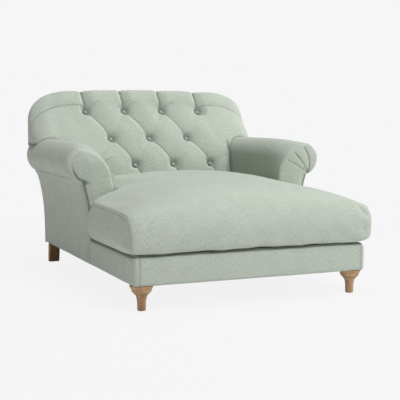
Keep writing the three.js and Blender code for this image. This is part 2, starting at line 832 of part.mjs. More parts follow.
// How far the pad is drawn in at a place of its surface
function sinkAt(x, place) {
  const here = new THREE.Vector3(x, lengthAt(place), 0);
  const nearest = new THREE.Vector3();
  const distanceTo = (line) => line.closestPointToPoint(here, true, nearest).distanceTo(here);
  const toPleat = Math.min(...pleatSegments.map(distanceTo));
  const toButton = Math.min(...buttonPlaces.map((button) => button.distanceTo(here)));
  const pleat = Math.max(0, 1 - toPleat / pleatReach) ** 2;
  const well = Math.max(0, 1 - toButton / wellReach) ** 2;
  return pleatSink * pleat + (buttonSink - pleatSink) * well;
}

// Top of the back at a distance from its middle, lower towards the rounded corners
const cornerStart = halfBack - cornerWidth;
function crestAt(x) {
  const out = Math.abs(x);
  const share = Math.min(1, Math.max(0, (out - cornerStart) / cornerWidth));
  const arch = crestArch * Math.min(1, out / cornerStart) ** 2;
  return backTop - arch - cornerHeight * (1 - (1 - share ** cornerPower) ** (1 / cornerPower));
}

// Back pad as a loft of upright sections across the piece
const columns = [];
for (let i = 0; i * (half / 4) <= postInside; i++) columns.push(i * (half / 4));
columns.push(...wingShares.map((share) => lerp(postInside, halfBack, share)));
const allColumns = [...columns.slice(1).reverse().map((x) => -x), ...columns];
const rows = profileStopShares.flatMap(([from, to, count]) =>
  steps(count).slice(0, -1).map((share) => lerp(from, to, share)));
rows.push(1);
function column(x) {
  const out = Math.abs(x);
  const roundShare = Math.max(0, (out - (halfBack - wingEdge)) / wingEdge);
  const slim = wingSlimShare * (1 - Math.sqrt(1 - roundShare * roundShare));
  const stretch = (crestAt(x) - armTop) / (backTop - armTop);
  const front = rows.map((place) => {
    const p = profileCurve.getPoint(place).addScaledVector(profileNormal(place), -sinkAt(x, place));
    const z = p.y > armTop ? armTop + (p.y - armTop) * stretch : p.y;
    return new THREE.Vector3(x, lerp(p.x, baseDepth, slim), z);
  });
  return [...front, new THREE.Vector3(x, baseDepth, deckTop)];
}
function followsPleat(i, j) {
  const [here, above] = [rows[j], rows[Math.min(j + 1, rows.length - 1)]];
  const rising = sinkAt(allColumns[i], here) + sinkAt(allColumns[i + 1], above);
  const falling = sinkAt(allColumns[i], above) + sinkAt(allColumns[i + 1], here);
  return falling > rising;
}
const padBlank = skin(allColumns.map(column), followsPleat);

// What the pad leaves free: the arms, the raked posts, the crest board and the outside back
const armEnvelope = standing([
  [innerFoot - seatGap, 0],
  [innerFoot - seatGap, deckTop],
  ...arc(rollX, rollZ, rollRadius + seatGap, Math.PI, wingSeat, rollSteps),
  [halfBack + overrun, rollZ + (rollRadius + seatGap) * Math.sin(wingSeat)],
  [halfBack + overrun, 0],
], 0, baseDepth + overrun);
const boardFront = rearInside - boardThickness;
const rakeFoot = footRailFront - webThickness - 2 * seatGap;
const rakeTop = boardFront - seatGap;
const boardFoot = lerp(deckTop, backTop, boardTopShare) - crestBand;
const rake = (z) => lerp(rakeFoot, rakeTop, (z - railTop) / (boardFoot - railTop));
const behindPad = across([
  [rakeFoot, railTop],
  [rakeTop, boardFoot - seatGap],
  [baseDepth + overrun, boardFoot - seatGap],
  [baseDepth + overrun, railTop],
], -postInside - seatGap, postInside + seatGap);

// An outline of the back's upper part, drawn in from its silhouette by an inset
function crestLine(by, count) {
  const reach = halfBack - by;
  return steps(count).map((share) => {
    const x = lerp(reach, -reach, share);
    return [x, crestAt((x * halfBack) / reach) - by];
  });
}
function lobed(by, foot, lobeFoot, lobeStart, count) {
  const reach = halfBack - by;
  return [
    ...crestLine(by, count),
    [-reach, lobeFoot],
    [-lobeStart, lobeFoot],
    [-lobeStart, foot],
    [lobeStart, foot],
    [lobeStart, lobeFoot],
    [reach, lobeFoot],
  ];
}
const lobeFoot = lerp(deckTop, backTop, boardTopShare) - lobeDrop;
const lobeStart = postInside + lobeClearance;
const boardLine = lobed(boardInset, boardFoot, lobeFoot, lobeStart, boardSteps);
const crestBoard = standing(boardLine, boardFront, rearInside);
add("back_crest_board", crestBoard, timber);
const boardPocket = standing(
  lobed(boardInset - seatGap, boardFoot - seatGap, lobeFoot - seatGap, lobeStart - seatGap, boardSteps),
  boardFront - seatGap,
  baseDepth + overrun,
);

// Outside back: one panel from the underside to the crest
const notch = arc(rollX, rollZ, rollRadius, wingSeat, tuckFrom, notchSteps);
const sideLine = [
  [halfBack - crestWrap, notch[0][1] + seatGap],
  ...notch,
  ...flareLine(tuckZ, legHeight, 0).slice(1),
];
const panelOutline = [
  ...crestLine(crestWrap, panelSteps),
  ...sideLine.map(([x, z]) => [-x, z]),
  ...sideLine.slice().reverse(),
];
const backPanel = skin([
  uprightPoints(panelOutline, rearInside + seatGap),
  uprightPoints(panelOutline, baseDepth - panelRound),
  uprightPoints(inset(panelOutline, panelRound), baseDepth),
]);
add("outer_back_panel", backPanel, fabric);
const panelPocket = standing([
  ...crestLine(crestWrap - seatGap, panelSteps),
  [seatGap + crestWrap - halfBack, 0],
  [halfBack - crestWrap - seatGap, 0],
], rearInside, baseDepth + overrun);

// Buttons on the normal of the pad's front. The lower rows hang on twine from toggles behind the pad,
// the top row is nailed through the pad to the crest board.
function buttonFoot(place) {
  return profileCurve.getPoint(place).addScaledVector(profileNormal(place), buttonSkirt - buttonSink);
}
const padFrom = new THREE.Vector2(rakeFoot, railTop);
const padTo = new THREE.Vector2(rakeTop, boardFoot - seatGap);
function throughPad(place) {
  const normal = profileNormal(place);
  const foot = buttonFoot(place);
  if (place === topRow) return (rakeTop - foot.x) / -normal.x - nailShort;
  const rakeLine = padTo.clone().sub(padFrom);
  return padFrom.clone().sub(foot).cross(rakeLine) / normal.clone().negate().cross(rakeLine) + toggleSlack;
}
function buttonProfile(place) {
  const depth = throughPad(place);
  const tail = place === topRow ? [] : [[toggleRadius, -depth], [toggleRadius, -depth - toggleThickness]];
  return [
    [0, buttonDome],
    ...domeShares.map(([out, rise]) => [buttonRadius * out, buttonDome * rise]),
    [buttonRadius, -buttonSkirt],
    [twineRadius, -buttonSkirt],
    [twineRadius, -depth],
    ...tail,
    [0, -depth - (tail.length ? toggleThickness : 0)],
  ].map(([r, z]) => new THREE.Vector2(r, z));
}
function along(geometry, x, place) {
  const normal = profileNormal(place);
  const foot = buttonFoot(place);
  const turn = new THREE.Quaternion().setFromUnitVectors(
    new THREE.Vector3(0, 0, 1),
    new THREE.Vector3(0, normal.x, normal.y),
  );
  return geometry.applyQuaternion(turn).translate(x, foot.x, foot.y);
}
buttons.forEach(([x, place], i) => {
  const placeInRow = i - buttons.findIndex((other) => other[1] === place);
  const name = rowNames[buttonRowShares.indexOf(place)] + "_" + (placeInRow + 1);
  const body = new THREE.LatheGeometry(buttonProfile(place), buttonSides).rotateX(Math.PI / 2);
  add("back_button_" + name, welded(along(body, x, place)), fabric);
});
const pockets = buttons.flatMap(([x, place]) => [
  along(post(buttonRadius + seatGap, -buttonSkirt - seatGap, buttonSink, buttonSides), x, place),
  along(post(twineRadius + seatGap, -throughPad(place) - overrun, 0, twineSides), x, place),
]);
const padTools = [armEnvelope, mirrored(armEnvelope), behindPad, boardPocket, panelPocket, ...pockets];
add("back_tufted_pad", cut(padBlank, padTools), fabric);

// Raked posts from the foot rail up to the crest board, and the straps across them
const postFront = rakeFoot + webThickness + 2 * seatGap;
const postHead = boardFoot - seatGap;
const postOutline = [
  [postFront, railTop + seatGap],
  [boardFront + postHeadInset, postHead],
  [rearInside, postHead],
  [rearInside, postHead - postDepth],
  [postFront + postDepth, railTop + seatGap],
];
addPair("back_post", across(postOutline, postInside - postWidth, postInside), timber);
backWebShares.forEach((share, i) => {
  const middle = lerp(railTop, boardFoot, share);
  const edge = [middle - webWidth / 2, middle + webWidth / 2].map((z) => [rake(z) + seatGap, z]);
  const far = edge.slice().reverse().map(([y, z]) => [y + webThickness, z]);
  add("back_web_" + (i + 1), across([...edge, ...far], -postInside, postInside), webbing);
});

export default chaise;
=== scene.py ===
"""Looks of the chaise longue with a deep-buttoned back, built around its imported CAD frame.

Metres. x runs across (left is negative, seen from the front), y from the front to the back, z up.
Depths named d are measured from the front of the base, as in the CAD source.
"""
import math

import bpy
import numpy as np
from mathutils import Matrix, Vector


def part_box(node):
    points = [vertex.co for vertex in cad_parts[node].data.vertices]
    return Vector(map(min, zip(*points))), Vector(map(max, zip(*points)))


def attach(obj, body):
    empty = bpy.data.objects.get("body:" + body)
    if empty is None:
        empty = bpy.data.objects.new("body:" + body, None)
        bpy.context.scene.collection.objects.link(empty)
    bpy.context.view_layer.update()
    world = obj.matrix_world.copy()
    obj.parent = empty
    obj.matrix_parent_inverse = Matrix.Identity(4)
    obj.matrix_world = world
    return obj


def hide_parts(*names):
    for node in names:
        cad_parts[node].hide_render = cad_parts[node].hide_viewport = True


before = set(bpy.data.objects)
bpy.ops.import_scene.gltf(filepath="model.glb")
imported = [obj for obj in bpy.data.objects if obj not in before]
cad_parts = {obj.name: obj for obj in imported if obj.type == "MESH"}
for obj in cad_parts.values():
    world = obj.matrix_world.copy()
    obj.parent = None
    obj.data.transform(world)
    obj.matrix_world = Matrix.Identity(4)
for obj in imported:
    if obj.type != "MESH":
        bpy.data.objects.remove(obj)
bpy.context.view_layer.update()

# Sizes of the piece, the same as in the CAD source
SEAT_WIDTH = 0.868
ARM_WIDTH = 0.111
ARM_SETBACK = 0.603
ARM_LENGTH = 0.872
LEG_HEIGHT = 0.105
PLATFORM_HEIGHT = 0.125
ARM_RISE = 0.440
BACK_RISE = 0.262
FOOT_THICKNESS = 0.345
CUSHION_OVERHANG = 0.032
PANEL_PAD = 0.012

HALF_SEAT = SEAT_WIDTH / 2
HALF_BASE = HALF_SEAT + ARM_WIDTH
BASE_DEPTH = ARM_SETBACK + ARM_LENGTH
DECK_TOP = LEG_HEIGHT + PLATFORM_HEIGHT
ARM_TOP = DECK_TOP + ARM_RISE
BACK_TOP = ARM_TOP + BACK_RISE
REAR_INSIDE = BASE_DEPTH - PANEL_PAD
FRONT_Y = (CUSHION_OVERHANG - BASE_DEPTH) / 2  # the base's front in the row frame
SIDES = ((1, "right"), (-1, "left"))

# Arm scroll
ROLL_RADIUS = 0.092
SCROLL_LEAN = 0.019
WING_REACH = 0.085
ROLL_X = HALF_SEAT + SCROLL_LEAN + ROLL_RADIUS
ROLL_Z = ARM_TOP - ROLL_RADIUS
HALF_BACK = ROLL_X + WING_REACH
TUCK_ANGLE = math.radians(28) - math.pi / 2
TUCK_X = ROLL_X + ROLL_RADIUS * math.cos(TUCK_ANGLE)
TUCK_Z = ROLL_Z + ROLL_RADIUS * math.sin(TUCK_ANGLE)
WING_SEAT_Z = ROLL_Z + ROLL_RADIUS * math.sin(math.radians(44))

RIPPLE_WAVES = 4
UNEVEN = 0.0012  # how uneven a cover's surface is
MARKS = {"seam": 1.0, "along": 0.0, "fold": 1.0, "welt": 1.0}  # with their values where a piece has none


# Small helpers

def smooth(t):
    t = np.clip(t, 0, 1)
    return t * t * (3 - 2 * t)


def lerp(a, b, t):
    return a + (b - a) * t


def quarter(count):
    """Angles over a quarter turn."""
    return np.linspace(0, math.pi / 2, count)


def dip(distance, width):
    """1 at no distance, and 0 well beyond the width."""
    return np.exp(-(distance / width) ** 2)


def fading(distance, reach):
    """1 at no distance or less, then falling slowly to 0."""
    return np.exp(-np.maximum(distance, 0) / reach)


def ripple(u, v, seed):
    """Seeded smooth waves over a surface, between about -1 and 1."""
    random = np.random.default_rng(seed)
    total = np.zeros(np.broadcast(u, v).shape)
    for _ in range(RIPPLE_WAVES):
        angle, phase = random.uniform(0, 2 * math.pi, 2)
        stretch = random.uniform(0.6, 1.7)
        total += np.sin(stretch * (u * math.cos(angle) + v * math.sin(angle)) + phase)
    return total / RIPPLE_WAVES


def stacked(*parts):
    """Numbers and arrays side by side in the last axis of one array."""
    return np.stack(np.broadcast_arrays(*parts), axis=-1)


def in_row(x, d, z):
    """Points in the row frame."""
    return stacked(x, d + FRONT_Y, z)


def plain_object(name, points, faces):
    mesh = bpy.data.meshes.new(name)
    mesh.from_pydata(np.reshape(points, (-1, 3)).tolist(), [], np.asarray(faces).tolist())
    mesh.update()
    obj = bpy.data.objects.new(name, mesh)
    bpy.context.scene.collection.objects.link(obj)
    return obj


def mesh_object(name, points, faces, cloth=None, **marks):
    """A smooth-shaded object. cloth holds cloth coordinates in metres. Its marks are numbers at the points: seam is
    the distance to a stitched seam, along the place on it, fold the distance that sets the painted shade of folds,
    joints and shaded hollows, and welt the signed distance to a twin seam."""
    obj = plain_object(name, points, faces)
    attributes = obj.data.attributes
    cloth = np.reshape(points if cloth is None else cloth, (-1, 3))
    attributes.new("cloth", "FLOAT_VECTOR", "POINT").data.foreach_set("vector", cloth.ravel())
    for mark, nowhere in MARKS.items():
        values = np.ravel(marks[mark]) if mark in marks else np.full(len(cloth), nowhere)
        attributes.new(mark, "FLOAT", "POINT").data.foreach_set("value", values)
    obj.data.shade_smooth()
    return obj


def grid_faces(rows, columns, closed=False, flip=False):
    """Quads over a grid of points, its rows closed into rings if asked."""
    index = np.arange(rows * columns).reshape(rows, columns)
    if closed:
        index = np.concatenate([index, index[:, :1]], axis=1)
    quads = stacked(index[:-1, :-1], index[:-1, 1:], index[1:, 1:], index[1:, :-1]).reshape(-1, 4)
    return quads[:, ::-1] if flip else quads


def lengths_along(line):
    """The length from a line's start to each of its points."""
    return np.concatenate([[0], np.cumsum(np.linalg.norm(np.diff(line, axis=0), axis=1))])


def resample(line, spacing):
    """Points at an even spacing along an open line, with their lengths from its start."""
    line = np.asarray(line, dtype=float)
    lengths = lengths_along(line)
    count = max(2, int(round(lengths[-1] / spacing)) + 1)
    at = np.linspace(0, lengths[-1], count)
    return stacked(*(np.interp(at, lengths, part) for part in line.T)), at


def taken_mesh(obj):
    """Points and quads of an object as its modifiers leave it."""
    seen = obj.evaluated_get(bpy.context.evaluated_depsgraph_get())
    mesh = seen.to_mesh()
    points = np.empty(len(mesh.vertices) * 3)
    mesh.vertices.foreach_get("co", points)
    faces = [tuple(face.vertices) for face in mesh.polygons]
    seen.to_mesh_clear()
    return points.reshape(-1, 3), faces


def evened(points, faces, spacing):
    """The closed shape with its surface made again at an even spacing."""
    obj = plain_object("even_shape", points, faces)
    modifier = obj.modifiers.new("even", "REMESH")
    modifier.mode = "VOXEL"
    modifier.voxel_size = spacing
    result = taken_mesh(obj)
    bpy.data.objects.remove(obj)
    return result


def blown(points, faces, held, pressure, frames):
    """Cloth simulation of a closed case under pressure, with the held vertices kept in place."""
    scene = bpy.context.scene
    obj = plain_object("blown_case", points, faces)
    group = obj.vertex_groups.new(name="held")
    group.add(np.flatnonzero(held).tolist(), 1.0, "REPLACE")
    cloth = obj.modifiers.new("cloth", "CLOTH")
    settings = cloth.settings
    settings.quality = 5
    settings.mass = 0.3
    settings.tension_stiffness = settings.compression_stiffness = 14
    settings.shear_stiffness = 5
    settings.bending_stiffness = 0.6
    settings.vertex_group_mass = "held"
    settings.use_pressure = True
    settings.uniform_pressure_force = pressure
    settings.effector_weights.gravity = 0
    cloth.point_cache.frame_start = 1
    cloth.point_cache.frame_end = frames
    for moment in range(1, frames + 1):
        scene.frame_set(moment)
    result, _ = taken_mesh(obj)
    scene.frame_set(1)
    bpy.data.objects.remove(obj)
    return result


def divided(obj):
    """One level of subdivision, applied."""
    obj.modifiers.new("divide", "SUBSURF").levels = 1
    mesh = bpy.data.meshes.new_from_object(obj.evaluated_get(bpy.context.evaluated_depsgraph_get()))
    obj.modifiers.clear()
    obj.data = mesh
    mesh.shade_smooth()


def beside_polyline(u, v, line):
    """Distance of each (u, v) to a polyline, positive on the left of its direction, the length along it of the
    nearest place, and its whole length."""
    nearest = np.full(np.shape(u), np.inf)
    signed, along = np.zeros((2, *np.shape(u)))
    start = 0.0
    for (u0, v0), (u1, v1) in zip(line[:-1], line[1:]):
        du, dv = u1 - u0, v1 - v0
        length = math.hypot(du, dv)
        share = np.clip(((u - u0) * du + (v - v0) * dv) / length**2, 0, 1)
        distance = np.hypot(u - u0 - share * du, v - v0 - share * dv)
        side = np.where(du * (v - v0) - dv * (u - u0) >= 0, 1, -1)
        closer = distance < nearest
        signed = np.where(closer, side * distance, signed)
        along = np.where(closer, start + share * length, along)
        nearest = np.where(closer, distance, nearest)
        start += length
    return signed, along, start


def to_polyline(u, v, line):
    """Distance of each (u, v) to a polyline, and the length along it of the nearest place."""
    signed, along, _ = beside_polyline(u, v, line)
    return np.abs(signed), along


def side_of_polyline(u, v, line):
    """The distance, positive on the left of the line's direction, and the place along it from 0 to 1."""
    signed, along, length = beside_polyline(u, v, line)
    return signed, along / length


def curve(knots, place):
    """Catmull-Rom curve through knots, with its ends held, at places from 0 to 1."""
    knots = np.asarray(knots, dtype=float)
    t = np.clip(place, 0, 1) * (len(knots) - 1)
    i = np.minimum(np.asarray(t).astype(int), len(knots) - 2)
    w = (t - i)[..., None]
    p0, p1 = knots[np.maximum(i - 1, 0)], knots[i]
    p2, p3 = knots[i + 1], knots[np.minimum(i + 2, len(knots) - 1)]
    v0, v1 = (p2 - p0) / 2, (p3 - p1) / 2
    return (2 * p1 - 2 * p2 + v0 + v1) * w**3 + (-3 * p1 + 3 * p2 - 2 * v0 - v1) * w**2 + v0 * w + p1


# Materials

def srgb(*levels):
    """A colour written as 0 to 255 in sRGB, as linear light."""
    shares = [level / 255 for level in levels]
    return tuple(t / 12.92 if t <= 0.04045 else ((t + 0.055) / 1.055) ** 2.4 for t in shares) + (1.0,)


SAGE = srgb(187, 194, 183)
SAGE_DARK = srgb(156, 164, 152)
SAGE_LIGHT = srgb(213, 220, 209)
# Painted shade: the cloth is darkened towards this colour in its folds, joints and hollows
PAINTED_SHADE_COLOUR = srgb(98, 108, 98)
FOLD_DARK = 0.74  # the share of that colour where the painted shade is deepest
FOLD_NEAR, FOLD_FAR = 0.0010, 0.0052  # it fades between these distances
SLUBS = (430, 75, 430)  # how closely each pattern repeats along x, y and z, per metre
CROSS_THREADS = (60, 900, 60)
MOTTLING = (16, 9, 16)
WEAVE = 230
STITCHES = 38
STITCH_OFF = 0.0055  # the stitches run this far beside a seam
TWIN_OFF = 0.005  # and a twin seam's two lines this far from its middle


class Graph:
    """Short calls for building the nodes of a material or a world."""

    def __init__(self, owner, kind="Material"):
        owner.use_nodes = True
        self.owner = owner
        self.tree = owner.node_tree
        self.tree.nodes.clear()
        self.surface = self.node("Output" + kind).inputs["Surface"]

    def node(self, kind, inputs=()):
        """A new node, its inputs given as values or as the sockets that feed them."""
        node = self.tree.nodes.new("ShaderNode" + kind)
        for key, value in dict(inputs).items():
            self.put(node.inputs[key], value)
        return node

    def put(self, socket, value):
        if isinstance(value, bpy.types.NodeSocket):
            self.tree.links.new(value, socket)
        else:
            socket.default_value = value

    def shaded(self, inputs):
        """The material, with a principled shader on its surface."""
        self.put(self.surface, self.node("BsdfPrincipled", inputs).outputs["BSDF"])
        return self.owner

    def attribute(self, name, output="Fac"):
        node = self.node("Attribute")
        node.attribute_name = name
        return node.outputs[output]

    def place(self):
        return self.node("TexCoord").outputs["Object"]

    def math(self, operation, a, b=0.0):
        node = self.node("Math", {0: a, 1: b})
        node.operation = operation
        return node.outputs[0]

    def plus(self, a, b):
        return self.math("ADD", a, b)

    def minus(self, a, b):
        return self.math("SUBTRACT", a, b)

    def times(self, a, b):
        return self.math("MULTIPLY", a, b)

    def most(self, first, *others):
        for value in others:
            first = self.math("MAXIMUM", first, value)
        return first

    def line(self, value, at, near, far):
        """1 where the value is within near of a place, 0 beyond far."""
        return self.span(self.math("ABSOLUTE", self.minus(value, at)), near, far, 1.0, 0.0)

    def scaled(self, vector, scale):
        return self.node("Mapping", {"Vector": vector, "Scale": scale}).outputs[0]

    def noise(self, vector, scale, detail, roughness=0.5, distortion=0.0):
        settings = {"Scale": 1.0, "Detail": detail, "Roughness": roughness, "Distortion": distortion}
        return self.node("TexNoise", {"Vector": self.scaled(vector, scale), **settings}).outputs["Fac"]

    def wave(self, vector, direction, scale, distortion=0.0):
        inputs = {"Vector": vector, "Scale": scale, "Distortion": distortion, "Detail": 1.0}
        node = self.node("TexWave", inputs)
        node.bands_direction = direction
        return node.outputs["Fac"]

    def span(self, value, low, high, to_low=0.0, to_high=1.0):
        """The value's range from low to high, turned into another one."""
        ends = {"From Min": low, "From Max": high, "To Min": to_low, "To Max": to_high}
        return self.node("MapRange", {"Value": value, **ends}).outputs[0]

    def mix(self, factor, a, b):
        node = self.node("Mix")
        node.data_type = "RGBA"
        for place, value in ((0, factor), (6, a), (7, b)):
            self.put(node.inputs[place], value)
        return node.outputs[2]

    def bump(self, height, strength, distance, normal=None):
        node = self.node("Bump", {"Strength": strength, "Distance": distance, "Height": height})
        if normal is not None:
            self.put(node.inputs["Normal"], normal)
        return node.outputs[0]


def woven(name, slub=1.0):
    """Linen-look weave: upright slubs, a fine plain weave, soft mottling, seams with stitches, painted shade by the
    fold mark.
    """
    g = Graph(bpy.data.materials.new(name))
    cloth = g.attribute("cloth", "Vector")
    slubs = g.noise(cloth, SLUBS, 4.0, roughness=0.65)
    threads = g.noise(cloth, CROSS_THREADS, 2.0, roughness=0.6)
    mottle = g.noise(cloth, MOTTLING, 3.0)
    shade = g.plus(g.times(slubs, 0.88 * slub), g.times(mottle, 0.12))
    colour = g.mix(g.span(shade, 0.3, 0.7), SAGE_DARK, SAGE_LIGHT)
    colour = g.mix(g.times(g.span(threads, 0.35, 0.7), 0.25), colour, SAGE)

    seam = g.attribute("seam")
    line = g.span(seam, 0.0008, 0.0022, 1.0, 0.0)
    dashes = g.wave(g.scaled(g.attribute("along", "Vector"), (1, 0, 0)), "X", STITCHES)
    stitch = g.times(g.line(seam, STITCH_OFF, 0.0006, 0.0013), g.span(dashes, 0.35, 0.5))
    # painted shade, from the fold mark
    fold = g.span(g.attribute("fold"), FOLD_NEAR, FOLD_FAR, FOLD_DARK, 0.0)
    welt = g.math("ABSOLUTE", g.attribute("welt"))
    twin = g.line(welt, TWIN_OFF, 0.0005, 0.0018)
    # the seams' dark lines and stitches, together with the painted shade
    dark = g.most(g.times(line, 0.6), g.times(stitch, 0.35), fold, g.times(twin, 0.24))

    weave = g.times(*(g.wave(cloth, direction, WEAVE, distortion=0.6) for direction in "XY"))
    normal = g.bump(g.plus(g.times(weave, 0.5), g.times(slubs, 0.5)), 0.35, 0.0012)
    normal = g.bump(g.span(seam, 0.0, 0.004), 0.5, 0.002, normal)
    ridge = g.minus(g.span(welt, 0.0025, 0.0055, 1.0, 0.0), g.times(twin, 0.6))
    return g.shaded({
        "Base Color": g.mix(dark, colour, PAINTED_SHADE_COLOUR),
        "Roughness": g.span(slubs, 0.2, 0.8, 0.86, 0.96),
        "Normal": g.bump(ridge, 0.8, 0.003, normal),
        "Specular IOR Level": 0.2,
        "Sheen Weight": 0.14,
        "Sheen Roughness": 0.45,
        "Sheen Tint": (0.93, 0.97, 0.92, 1),
    })


def wood(name, light, dark):
    """Straight-grained wood with pores along z, satin."""
    g = Graph(bpy.data.materials.new(name))
    cloth = g.attribute("cloth", "Vector")
    bands = g.noise(cloth, (70, 70, 5), 3.0, distortion=0.6)
    pores = g.noise(cloth, (900, 900, 40), 2.0)
    tone = g.mix(g.span(bands, 0.3, 0.7), dark, light)
    pore_colour = tuple(0.45 * level for level in dark[:3]) + (1,)
    return g.shaded({
        "Base Color": g.mix(g.times(g.span(pores, 0.56, 0.68), 0.35), tone, pore_colour),
        "Roughness": g.span(bands, 0.2, 0.8, 0.5, 0.62),
        "Normal": g.bump(g.plus(bands, pores), 0.12, 0.0006),
        "Specular IOR Level": 0.4,
    })


def strap(name):
    """Elastic webbing: lengthwise ribs with a fleck."""
    g = Graph(bpy.data.materials.new(name))
    ribs = g.noise(g.place(), (500, 500, 500), 2.0)
    return g.shaded({
        "Base Color": g.mix(ribs, srgb(70, 70, 66), srgb(108, 106, 100)),
        "Normal": g.bump(ribs, 0.3, 0.0006),
        "Roughness": 0.85,
    })


def cambric(name):
    """Thin black cloth with an open weave."""
    g = Graph(bpy.data.materials.new(name))
    cloth = g.attribute("cloth", "Vector")
    mesh = g.times(g.wave(cloth, "X", 160), g.wave(cloth, "Y", 160))
    fuzz = g.noise(cloth, (40, 40, 40), 3.0)
    return g.shaded({
        "Base Color": g.mix(g.times(mesh, fuzz), srgb(28, 28, 28), srgb(58, 58, 57)),
        "Normal": g.bump(mesh, 0.3, 0.0005),
        "Roughness": 0.95,
    })


def timber(name):
    """Unfinished softwood of the hidden frame."""
    g = Graph(bpy.data.materials.new(name))
    rings = g.noise(g.place(), (6, 60, 60), 3.0, distortion=0.8)
    return g.shaded({
        "Base Color": g.mix(g.span(rings, 0.3, 0.7), srgb(190, 155, 108), srgb(222, 192, 145)),
        "Roughness": g.span(rings, 0.2, 0.8, 0.7, 0.85),
        "Normal": g.bump(rings, 0.15, 0.001),
    })


LOOKS = {  # the material of each slot
    "upholstery": woven("upholstery_weave"),
    "cushion_cover": woven("cushion_weave"),
    "button_cover": woven("button_weave", slub=0.6),
    "oak": wood("oak_satin", srgb(200, 163, 121), srgb(162, 126, 89)),
    "dark_wood": wood("dark_wood_satin", srgb(166, 121, 78), srgb(126, 90, 56)),
    "black_cambric": cambric("black_cambric"),
}
TIMBER = timber("frame_timber")
WEBBING = strap("webbing")


def dress(obj, slot, *replaced, body="chair", fill=None):
    """Gives a piece its slot's material and its body, and hides the CAD nodes that it stands for."""
    obj.data.materials.clear()
    obj.data.materials.append(LOOKS[slot])
    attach(obj, body)
    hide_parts(*replaced)


# The deep-buttoned back

PROFILE_SHARES = [  # share of the foot's thickness in front of the rear, share of the height above the deck
    (1, 0), (0.9, 0.22), (0.78, 0.443), (0.54, 0.642), (0.24, 0.849),
    (0.165, 0.93), (0.09, 0.993), (0.03, 0.985), (0, 0.915),
]
BUTTON_ROWS = (0.25, 0.375, 0.5)
CREST_END = 0.8
BUTTON_MARGIN = 0.1055
BUTTON_PITCH = (SEAT_WIDTH - 2 * BUTTON_MARGIN) / 3
BUTTON_RADIUS = 0.0108
BUTTON_DOME = 0.0075
BUTTON_SIDES = 32
BUTTON_SINK = 0.034
BUTTON_FOOT = 0.026  # how deep a button's rim sits under the pad's full surface
BUTTON_SAG = 0.006  # the filled pad carries its buttons this much lower
FOLD_SINK = 0.032  # at a button
FOLD_MIDDLE = 0.019  # halfway between two
FOLD_SETTLES = (0.22, 0.7)  # this share along a fold, so much of the way to its middle depth is done
FOLD_BOW = 0.012  # the folds rise above the straight line between two buttons
FOLD_SHADE = 2.4  # a fold's shadow is this much wider on the pad above it
SINK_SHADE = 0.42  # how dark the painted shade in the deepest places is
LIP_REACH = 0.027  # the pad below a fold is full again within this
SLOPE_REACH = 0.115  # and above it within this
SLOPE_POWER = 1.7
VALLEY_SINK = 0.026  # the soft valleys that cross the folds, at their lower button
VALLEY_MIDDLE = 0.004
VALLEY_START = 0.002
VALLEY_SETTLES = (0.3, 0.75)
VALLEY_REACH = 0.048
CREST_SINK = 0.019
CREST_REACH = 0.062
BLEND_POWER = 5
WELL_SINK = BUTTON_SINK + 0.002
WELL_FLAT = 0.0125
WELL_REACH = (0.022, 0.054)  # towards the lower left, towards the upper right
WELL_TURN = 0.7  # the direction of the longer reach, as an angle from x
WELL_POWER = 1.6
WRINKLES = 17  # small ones that run out from a button
WRINKLE_DEPTH = 0.0024
# painted shade beside each button's wrinkles
WRINKLE_SHADE = 0.16
WRINKLE_RING = (0.034, 0.018)  # distance from a button of the wrinkles around it, and their half length
CORNER_WIDTH = 0.260
CORNER_HEIGHT = 0.178
CORNER_POWER = 2.5
CREST_ARCH = 0.008
WING_EDGE = 0.095
WING_SLIM = 0.55
WING_SEAM = [(0.01, 0.018), (0.03, 0.027), (0.07, 0.029), (0.15, 0.027)]  # its start, from the outermost top button
WING_SEAM_END = [(0.05, 0.010), (0.02, -0.010), (0, -0.040)]  # from the wing's side, and from the top row's height
WING_GROOVE = (0.0022, 0.0035)  # depth and width
ARM_TURN_IN = (0.012, 0.010)  # how far the pad turns in where it meets the arms' inner faces, and their tops
TURN_REACH = 0.012
JOINT_SHADE = 0.45  # the painted shade in a joint between two covers: its distance counts as this much of a distance to a fold
ARM_JOINT_SHADE = 0.4
GRID = 0.004


def spline(place):
    """The back's side profile, as (depth, height)."""
    knots = [(BASE_DEPTH - thick * FOOT_THICKNESS, lerp(DECK_TOP, BACK_TOP, rise)) for thick, rise in PROFILE_SHARES]
    return curve(knots, place)


FINE_PLACES = np.linspace(0, 1, 2001)
FINE_PROFILE = spline(FINE_PLACES)
FINE_LENGTHS = lengths_along(FINE_PROFILE)


def length_at(place):
    return float(np.interp(place, FINE_PLACES, FINE_LENGTHS))


def profile_at(length):
    """Depth and height at a length up the profile, and the outward normal."""
    place = np.interp(length, FINE_LENGTHS, FINE_PLACES)
    step = 0.004
    tangent = spline(np.minimum(place + step, 1)) - spline(np.maximum(place - step, 0))
    tangent /= np.linalg.norm(tangent, axis=-1, keepdims=True)
    return spline(place), stacked(-tangent[..., 1], tangent[..., 0])


def button_places():
    """Buttons as (x, length up the profile) for the low, middle and top rows."""
    half = BUTTON_PITCH / 2
    places = {}
    for row, rise, shifts in zip(("low", "middle", "top"), BUTTON_ROWS, ((-3, -1, 1, 3), (-2, 0, 2), (-3, -1, 1, 3))):
        places[row] = [(i * half, length_at(rise) - BUTTON_SAG) for i in shifts]
    return places


def crest_at(x):
    """Top of the back at a distance from the middle."""
    out = np.abs(x)
    start = HALF_BACK - CORNER_WIDTH
    share = np.clip((out - start) / CORNER_WIDTH, 0, 1)
    arch = CREST_ARCH * np.minimum(1, out / start) ** 2
    return BACK_TOP - arch - CORNER_HEIGHT * (1 - (1 - share**CORNER_POWER) ** (1 / CORNER_POWER))


